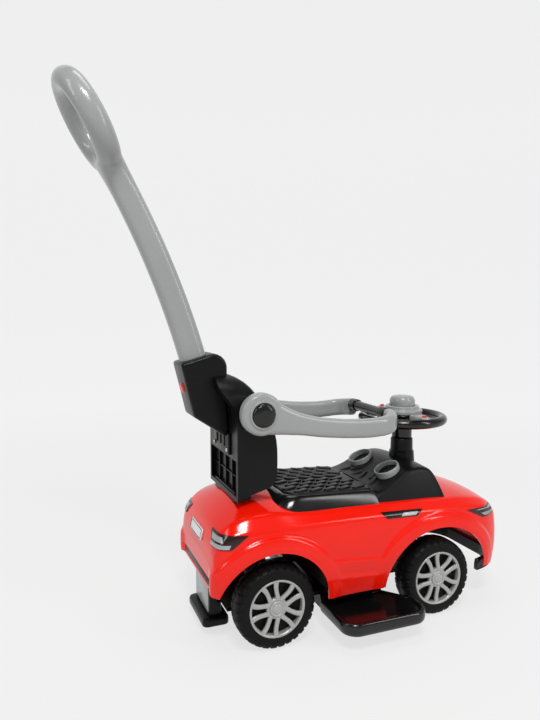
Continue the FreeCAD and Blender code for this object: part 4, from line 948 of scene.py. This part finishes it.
class PUSHCAR_OT_wheels(Operator):
    """Four wheels: treaded tyre, spoked rim and hub cap, modelled once and copied"""
    bl_idname = "pushcar.wheels"
    bl_label = "Wheels"

    def execute(self, context):
        sizes = context.scene.push_car
        radius = sizes.tyre_radius / MM
        shoulder = ((50.0, 21.0), (51.5, 22.4), (55, 22.8), (60, 22.9), (64.5, 22.3), (67.6, 20.2),
                    (69.6, 17.5), (70.9, 14), (71.6, 10), (71.9, 6), (72, 2.2))
        bore = ((49.4, 17), (47, 13.5), (44, 12), (20, 11.5), (11, 11.5), (11, -21), (50, -21.0))
        profile = (*((r, -width) for r, width in shoulder), *reversed(shoulder), *bore)
        # Tread: notched blocks on both shoulders, finer notches further in and a groove in the middle
        segments, pitch, tread_foot = 300, 10, 60
        block_notch, rib_notch, groove = 2.2, 1.6, 1.4
        rings = []
        for base, width in profile:
            ring = []
            offset, outer = abs(width), width > 0
            for step in range(segments):
                turn = 2 * math.pi * step / segments
                r = base * radius / wheel_height
                if base > tread_foot:
                    if 14 <= offset < 22.5 and (step + (5 if outer else 0)) % pitch < 3:
                        r -= block_notch
                    elif 5 < offset < 12 and (step + (3 if outer else 0)) % pitch < 2:
                        r -= rib_notch
                    elif offset < 3:
                        r -= groove
                ring.append(Vector((r * math.cos(turn), width, r * math.sin(turn))) * MM)
            rings.append(ring)
        tyre = skin("tyre", rings)

        def on_face(u, v, h):
            return Vector((u, h, v)) * MM

        profile = ((50, 12), (50, 21.6), (49, 22.6), (47, 22.2), (45.4, 20.6), (45, 18.5), (45, 12), (50, 12))
        lip = turned("lip", rounded(profile, 0.9, 3), on_face, 96)
        profile = ((11, 11.8), (18.4, 12), (18.6, 18), (17, 19.8), (11, 20), (11, 11.8))
        hub = turned("hub", rounded(profile, 1.2, 3), on_face, 64)
        # Ten spokes in five pairs that spread towards the lip
        spokes = []
        for pair in range(5):
            for sign in (1, -1):
                lines = []
                for share in np.linspace(0, 1, 11):
                    r = 14 + 32.5 * share
                    swing = 8.5 + 11.5 * share ** 0.8 + 5.5 * math.sin(math.pi * share)
                    turn = pair * math.tau / 5 + sign * math.radians(swing)
                    crown = 17.6 + 1.6 * math.sin(math.pi * share * 0.5)
                    middle = Vector((r * math.cos(turn), crown, r * math.sin(turn)))
                    across = Vector((-math.sin(turn), 0, math.cos(turn)))
                    wide = 7.8 + 2.0 * (2 * share - 1) ** 2
                    section = oval(wide, 5.4, 3.0, 14)
                    lines.append([(middle + across * u + Vector((0, v, 0))) * MM for u, v in section])
                spokes.append(skin("spoke", capped(lines)))
        rim = joined("rim", [lip, hub] + spokes)
        profile = ((0, 16), (13.8, 16), (13.8, 21.4), (12.6, 22.6), (10.4, 22.6), (9.8, 21.8), (8.6, 21.8),
                   (8, 22.8), (5, 23.4), (0, 23.6))
        cap = turned("cap", rounded(profile, 0.7, 3), on_face, 64)
        parts = ((tyre, "tyre", "tyre", "wheel_black", 32.0), (rim, "rim", "rim", "rim_silver", 40.0),
                 (cap, "cap", "hub_cap", "rim_silver", 35.0))
        for end, x in (("rear", 0.0), ("front", sizes.wheelbase / MM)):
            for side, sign in SIDES:
                spot = Matrix.Translation(at(x, sign * wheel_reach, wheel_height))
                if sign < 0:
                    spot = spot @ MIRROR
                for part, name, node, slot, angle in parts:
                    piece = copied(part, f"{name}_{end}_{side}_piece", spot)
                    dress(piece, f"wheel_{end}_{side}", [f"{node}_{end}_{side}"], slot, angle)
        for part, *_ in parts:
            bpy.data.objects.remove(part, do_unlink=True)
        return {"FINISHED"}


class PUSHCAR_OT_footrests(Operator):
    """Footrest trays with a raised rim, and the tongues that slide in the chassis"""
    bl_idname = "pushcar.footrests"
    bl_label = "Footrests"

    def execute(self, context):
        outer = outline([(97, 98, 2), (219, 98, 6), (261, 148, 24), (261, 203, 28), (97, 203, 28)], 9, 8)
        inner = outline([(107, 106, 2), (213, 106, 6), (250, 151, 16), (250, 192, 18), (107, 192, 18)], 9, 8)
        levels = ((0.9, 31), (0.4, 31.1), (0.22, 32), (0.08, 34.5), (0.0, 39), (0.0, 47.5), (0.06, 50),
                  (0.18, 52), (0.34, 52.9), (0.6, 52.9), (0.74, 52.0), (0.86, 50.6), (1.0, 50.2), (1.3, 50.0))
        tray = stack("tray", outer, inner, levels, at)
        tongue = block("tongue", (109.4, 22, 34.4), (212.6, 99, 52.6), 1.2, 2)
        left = joined("footrest_left_piece", [tray, tongue])
        right = copied(left, "footrest_right_piece", MIRROR)
        dress(left, "foot_left", ["footrest_left"], "gloss_black", 40.0)
        dress(right, "foot_right", ["footrest_right"], "gloss_black", 40.0)
        return {"FINISHED"}


class PUSHCAR_OT_trim(Operator):
    """Lamps, vents, grille, bare number plate, and the rear foot with its plate"""
    bl_idname = "pushcar.trim"
    bl_label = "Trim"

    def sheet(self, name, rows):
        """Thin closed sheet through rows of (outer point, inner point)."""
        rings = [[outer for outer, _ in row] + [inner for _, inner in reversed(row)] for row in rows]
        for end, ring in ((0, rings[0]), (len(rings) + 1, rings[-1])):
            rings.insert(end, [(ring[i] + ring[-1 - i]) / 2 for i in range(len(ring))])
        return skin(name, rings)

    def panel(self, name, corners, lift, thick, columns=14, rows=8):
        """Thin panel on the right side of the shell between four corners (x, z)."""
        low_rear, low_front, high_front, high_rear = [Vector(c) for c in corners]
        lines = []
        for row in range(rows + 1):
            v = row / rows
            line = []
            for column in range(columns + 1):
                u = column / columns
                x, z = low_rear.lerp(low_front, u).lerp(high_rear.lerp(high_front, u), v)
                y = flank_y(x, z) + lift
                line.append((at(x, -y - thick, z), at(x, -y, z)))
            lines.append(line)
        return self.sheet(name, lines)

    def tail_panel(self, name, rears, fronts, lows, highs, lift, thick, columns=26, rows=8):
        """Thin panel round the right tail corner, from a half width on the tail to a place on the flank.

        Rears and fronts are given at its foot and its top. Lows and highs are the heights of its foot and its
        top at the rear and the front end.
        """
        lines = []
        for row in range(rows + 1):
            v = row / rows
            line = []
            for column in range(columns + 1):
                u = column / columns
                z = (lows[0] * (1 - u) + lows[1] * u) * (1 - v) + (highs[0] * (1 - u) + highs[1] * u) * v
                section = tail_line(z)
                place = np.concatenate([[0.0], np.cumsum(np.linalg.norm(np.diff(section, axis=0), axis=1))])
                start = np.interp(rears[0] * (1 - v) + rears[1] * v, -section[:, 1], place)
                end = np.interp(fronts[0] * (1 - v) + fronts[1] * v, section[:, 0], place)
                spots = start + (end - start) * u + np.array((-2.0, 0.0, 2.0))
                lanes = [np.interp(spots, place, section[:, axis]) for axis in (0, 1)]
                near, here, far = [Vector(spot) for spot in zip(*lanes)]
                along = (far - near).normalized()
                out = Vector((along.y, -along.x))
                inner = here + out * lift
                outer = inner + out * thick
                line.append((at(*outer, z), at(*inner, z)))
            lines.append(line)
        return self.sheet(name, lines)

    def both(self, name, pieces, nodes, slot):
        """Joins panels of one side, copies them to the other and dresses the pair."""
        right = joined(name, pieces)
        left = copied(right, name + "_twin", MIRROR)
        dress(joined(name, [right, left]), "car", nodes, slot, 35.0)

    def execute(self, context):
        # Lift off the shell and thickness of the lamp films and of the bars on them
        film, bar = (0.3, 1.4), (1.6, 0.8)
        glass = self.tail_panel("glass", (88, 68), (-76, -47), (180, 179), (202, 200.5), *film)
        self.both("tail_lamp_glass", [glass], ["tail_lamps"], "lamp_film")
        bars = [self.tail_panel("bar", (87, 84), (-79, -76), (181.2, 180.6), (186.6, 187), *bar, 20, 3),
                self.tail_panel("bar", (84, 78), (-87, -86), (190.5, 190), (198.5, 197.5), *bar, 10, 4)]
        self.both("tail_lamp_bars", bars, [], "silver_film")
        glass = self.panel("glass", ((436, 170), (470, 172), (468, 188), (394, 190)), *film)
        self.both("head_lamp_glass", [glass], ["headlamps"], "lamp_film")
        bars = [self.panel("bar", ((440, 173), (468, 174), (467, 179), (430, 179)), *bar),
                self.panel("bar", ((424, 185), (466, 184.5), (466, 186.5), (414, 187)), *bar)]
        self.both("head_lamp_bars", bars, [], "silver_film")
        vent = self.panel("vent", ((215, 197), (278, 195), (292, 205), (205, 208)), 0.2, 1.2)
        self.both("vent_panel", [vent], ["side_vents"], "gloss_black")
        vent = self.panel("bar", ((244, 198), (275, 197), (281, 202.5), (250, 203.5)), 1.3, 0.7)
        self.both("vent_bar", [vent], [], "silver_film")
        plate = block("plate", (-104.4, -35.5, 168), (-101, 35.5, 188), 1.2, 3)
        back, front, line = -104.9, -103.6, 0.7
        border = [block("edge", (back, -34, z - line), (front, 34, z + line), 0.4, 2) for z in (170, 186)]
        border += [block("edge", (back, y - line, 170), (front, y + line, 186), 0.4, 2)
                   for y in (-33.5, 33.5)]
        middle = at(-102, 0, 178)
        tilt = Matrix.Rotation(math.radians(14), 4, "Y")
        tilt = Matrix.Translation(middle) @ tilt @ Matrix.Translation(-middle)
        for part in [plate] + border:
            part.data.transform(tilt)
        dress(plate, "car", ["number_plate"], "plate_white", 40.0)
        dress(joined("plate_border", border), "car", [], "gloss_black", 40.0)
        # Satin black strip in the slot across the foot of the tail: painted shade, a dark piece that stands
        # in for the shadow in the recess
        strip = block("bumper_strip", (-103.6, -88, 107), (-100.5, 88, 118), 0.8, 2)
        dress(strip, "car", [], "satin_black", 40.0)
        slats = [block("slat", (497, -52, z), (501.2, 52, z + 4.6), 1.6, 3) for z in (113, 121, 129, 137)]
        dress(joined("grille_slats", slats), "car", ["grille"], "gloss_black", 40.0)
        base = outline([(-106, -55, 10), (-58, -55, 10), (-58, 55, 10), (-106, 55, 10)], 7, 5)
        crown = outline([(-97, -47, 6), (-66, -47, 6), (-66, 47, 6), (-97, 47, 6)], 7, 5)
        levels = ((0.3, 17), (0.06, 17.8), (0, 20), (0, 27), (0.12, 30.4), (0.4, 32), (1, 32.4))
        sole = stack("sole", base, crown, levels, at)
        post = block("post", (-93, -47, 31), (-71, 47, 108), 3, 3)
        shelf = block("shelf", (-80, -47, 56), (-72, 47, 62), 0.8, 2)
        dress(joined("rear_foot", [sole, post, shelf]), "car", ["anti_tip_foot"], "satin_black", 40.0)
        plate = block("foot_plate", (-94.1, -41, 38), (-92.6, 41, 102), 0.5, 2)
        dress(plate, "car", ["anti_tip_plate"], "silver_film", 40.0)
        return {"FINISHED"}


class PUSHCAR_OT_under(Operator):
    """Smooth copies of the chassis and gear pieces, and finishes for what stays hidden"""
    bl_idname = "pushcar.under"
    bl_label = "Chassis and gear"

    def execute(self, context):
        for node in ("front_lip", "chassis_tray", "rear_axle", "axle_washers", "knuckle_left",
                     "knuckle_right", "kingpins", "kingpin_bridge", "tie_rod", "steering_rod",
                     "storage_tray", "chassis_screws"):
            smooth_copy(node)
        for name, node in frame["nodes"].items():
            node.data.materials.clear()
            node.data.materials.append(finish_of(node_slot[name]))
        return {"FINISHED"}


class PUSHCAR_OT_stage(Operator):
    """Pale floor that curves up all round the car, soft lights and the camera"""
    bl_idname = "pushcar.stage"
    bl_label = "Stage"

    def execute(self, context):
        sizes = context.scene.push_car
        aim = Vector((math.sin(sizes.camera_yaw), math.cos(sizes.camera_yaw), 0))
        flat, bend = 2.6, 2.2
        profile = [(0.0, 0.0), (0.6, 0.0), (1.4, 0.0), (flat, 0.0)]
        for step in range(1, 17):
            turn = math.pi / 2 * step / 16
            profile.append((flat + bend * math.sin(turn), bend - bend * math.cos(turn)))
        profile += [(flat + bend, 4.0), (flat + bend, 7.0)]
        floor = turned("studio_bowl", profile, lambda u, v, h: Vector((u, v, h)), 96)
        if min(floor.data.polygons, key=lambda face: face.center.z).normal.z < 0:
            floor.data.flip_normals()
        pick(floor)
        bpy.ops.object.shade_smooth()
        # White paper lit from behind: an even pale ground that falls off to grey at the sides
        paper = bpy.data.materials.new("back_lit_white_paper")
        paper.use_nodes = True
        tree = paper.node_tree
        tree.nodes.clear()
        place = add(tree, "ShaderNodeTexCoord").outputs["Object"]
        reach = add(tree, "ShaderNodeVectorMath", [("Vector", place)], operation="LENGTH")
        level = add(tree, "ShaderNodeVectorMath", [(0, place)], operation="MULTIPLY")
        level.inputs[1].default_value = (1, 1, 0)
        heading = add(tree, "ShaderNodeVectorMath", [(0, level.outputs["Vector"])], operation="NORMALIZE")
        ahead = add(tree, "ShaderNodeVectorMath", [(0, heading.outputs["Vector"])], operation="DOT_PRODUCT")
        ahead.inputs[1].default_value = aim
        rise = add(tree, "ShaderNodeSeparateXYZ", [("Vector", place)])
        ranges = ("From Min", "From Max", "To Min", "To Max")
        ramps = []
        for source, values in ((reach.outputs["Value"], (0.4, 3.4, 0.7, 0.77)),
                               (ahead.outputs["Value"], (0.2, 0.8, 0.62, 0.0)),
                               (rise.outputs["Z"], (0.0, 1.0, 0.0, 1.0))):
            ramp = add(tree, "ShaderNodeMapRange", [("Value", source)],
                       interpolation_type="SMOOTHSTEP", **dict(zip(ranges, values)))
            ramps.append(ramp.outputs["Result"])
        glow, side, wall = ramps
        dim = add(tree, "ShaderNodeMath", [(0, side), (1, wall)], operation="MULTIPLY")
        keep = add(tree, "ShaderNodeMath", [(1, dim.outputs["Value"])], operation="SUBTRACT")
        keep.inputs[0].default_value = 1.0
        power = add(tree, "ShaderNodeMath", [(0, glow), (1, keep.outputs["Value"])], operation="MULTIPLY")
        shade = add(tree, "ShaderNodeBsdfPrincipled", [("Emission Strength", power.outputs["Value"])],
                    Roughness=0.9, **{"Base Color": (*linear("#6A6A6A"), 1), "Emission Color": (1, 1, 1, 1)})
        add(tree, "ShaderNodeOutputMaterial", [("Surface", shade.outputs["BSDF"])])
        floor.data.materials.append(paper)
        world = bpy.data.worlds.new("studio")
        world.use_nodes = True
        air = world.node_tree
        heading = add(air, "ShaderNodeTexCoord").outputs["Generated"]
        rise = add(air, "ShaderNodeSeparateXYZ", [("Vector", heading)])
        band = add(air, "ShaderNodeMapRange", [("Value", rise.outputs["Z"])],
                   interpolation_type="SMOOTHSTEP", **dict(zip(ranges, (0.32, 0.75, 0.3, 0.06))))
        sky = air.nodes["Background"]
        sky.inputs["Color"].default_value = (1, 1, 1, 1)
        air.links.new(band.outputs["Result"], sky.inputs["Strength"])
        context.scene.world = world
        # Soft boxes: name, place and size in metres, power in watts
        boxes = (
            ("key", (-0.5, -1.5, 2.3), (0.7, 0.4), 40),
            ("strip", (1.3, -1.5, 1.3), (0.25, 1.5), 11),
            ("top", (0.1, 0.1, 2.4), (1.2, 0.6), 9),
            ("rear", (-2.0, -0.2, 1.5), (0.3, 1.3), 7),
        )
        for name, spot, size, power in boxes:
            light = bpy.data.lights.new(name, "AREA")
            light.shape = "RECTANGLE"
            light.size, light.size_y = size
            light.energy = power
            lamp = bpy.data.objects.new(name, light)
            lamp.location = spot
            towards = Vector((0.0, 0.0, 0.2)) - Vector(spot)
            lamp.rotation_euler = towards.to_track_quat("-Z", "Y").to_euler()
            context.scene.collection.objects.link(lamp)
        lens = bpy.data.cameras.new("view")
        lens.sensor_fit = "AUTO"
        lens.sensor_width = 36.0
        lens.lens = sizes.camera_lens
        camera = bpy.data.objects.new("view", lens)
        camera.location = at(*camera_place)
        down = math.tan(sizes.camera_pitch)
        forward = Vector((aim.x, aim.y, -down))
        camera.rotation_euler = forward.to_track_quat("-Z", "Y").to_euler()
        context.scene.collection.objects.link(camera)
        context.scene.camera = camera
        context.scene.view_settings.view_transform = "Standard"
        return {"FINISHED"}


def length_prop(title, text, size):
    """Length property with its default in metres."""
    return FloatProperty(name=title, description=text, default=size, unit="LENGTH")


def angle_prop(title, text, degrees):
    """Angle property with its default given in degrees."""
    return FloatProperty(name=title, description=text, default=math.radians(degrees), subtype="ANGLE")


class PushCarSizes(PropertyGroup):
    """Sizes that a user would change."""
    shell_wall: length_prop("Shell wall", "Wall of the red shell", 0.003)
    tyre_radius: length_prop("Tyre radius", "Outer radius of a tyre", 0.072)
    wheelbase: length_prop("Wheelbase", "Distance between the axles", 0.323)
    steering_radius: length_prop("Steering radius", "Radius of the steering rim", 0.079)
    steering_tube: length_prop("Steering tube", "Thickness of the steering rim", 0.019)
    stem_bend: length_prop("Stem bend", "Radius of the handle's bend", 1.5)
    stem_turn: angle_prop("Stem turn", "Turn of the handle's bend", 13.1)
    dash_length: length_prop("Dash length", "Length of a raised dash on the seat", 0.031)
    dash_slant: angle_prop("Dash slant", "Turn of a dash away from the middle", 28)
    camera_lens: FloatProperty(name="Lens", description="Focal length of the view in millimetres",
                               default=30.58)
    camera_yaw: angle_prop("Yaw", "Turn of the view to the front", 21.41)
    camera_pitch: angle_prop("Pitch", "Downward tilt of the view", 4.88)


def colour_prop(title, code):
    """Colour property with its default given as an sRGB hex code."""
    return FloatVectorProperty(name=title, description=f"Colour of the {title.lower()}", subtype="COLOR",
                               size=3, min=0.0, max=1.0, default=linear(code))


class PushCarColours(PropertyGroup):
    """Colours of the finishes."""
    red_shell: colour_prop("Shell", "#EC1704")
    gloss_black: colour_prop("Gloss black plastic", "#090909")
    satin_black: colour_prop("Satin black plastic", "#0A0A0B")
    seat_black: colour_prop("Seat plastic", "#0D0D0E")
    grey_plastic: colour_prop("Grey plastic", "#959796")
    red_accent: colour_prop("Buttons", "#DC1A0E")
    wheel_black: colour_prop("Tyres", "#0B0B0C")
    rim_silver: colour_prop("Rims", "#A8A8A6")
    steel: colour_prop("Steel", "#B8B9BA")
    lamp_film: colour_prop("Lamp film", "#1A0405")
    plate_white: colour_prop("Number plate", "#DEDEDE")
    silver_film: colour_prop("Silver film", "#A9ABAD")


class PUSHCAR_PT_panel(Panel):
    """Lists the pieces of the push car"""
    bl_idname = "PUSHCAR_PT_panel"
    bl_label = "Push car"
    bl_space_type = "VIEW_3D"
    bl_region_type = "UI"
    bl_category = "Push car"

    def draw(self, context):
        for maker in makers:
            self.layout.operator(maker.bl_idname)


makers = (
    PUSHCAR_OT_shell, PUSHCAR_OT_seat, PUSHCAR_OT_console, PUSHCAR_OT_steering_wheel, PUSHCAR_OT_backrest,
    PUSHCAR_OT_socket, PUSHCAR_OT_handle, PUSHCAR_OT_guard, PUSHCAR_OT_wheels, PUSHCAR_OT_footrests,
    PUSHCAR_OT_trim, PUSHCAR_OT_under, PUSHCAR_OT_stage,
)
classes = (PushCarSizes, PushCarColours, *makers, PUSHCAR_PT_panel)


def register():
    for cls in classes:
        bpy.utils.register_class(cls)
    bpy.types.Scene.push_car = PointerProperty(type=PushCarSizes)
    bpy.types.Scene.push_car_colours = PointerProperty(type=PushCarColours)


def unregister():
    del bpy.types.Scene.push_car_colours
    del bpy.types.Scene.push_car
    for cls in reversed(classes):
        bpy.utils.unregister_class(cls)


def main():
    register()
    deselect()
    for maker in makers:
        group, action = maker.bl_idname.split(".")
        getattr(getattr(bpy.ops, group), action)()


if __name__ == "__main__":
    main()
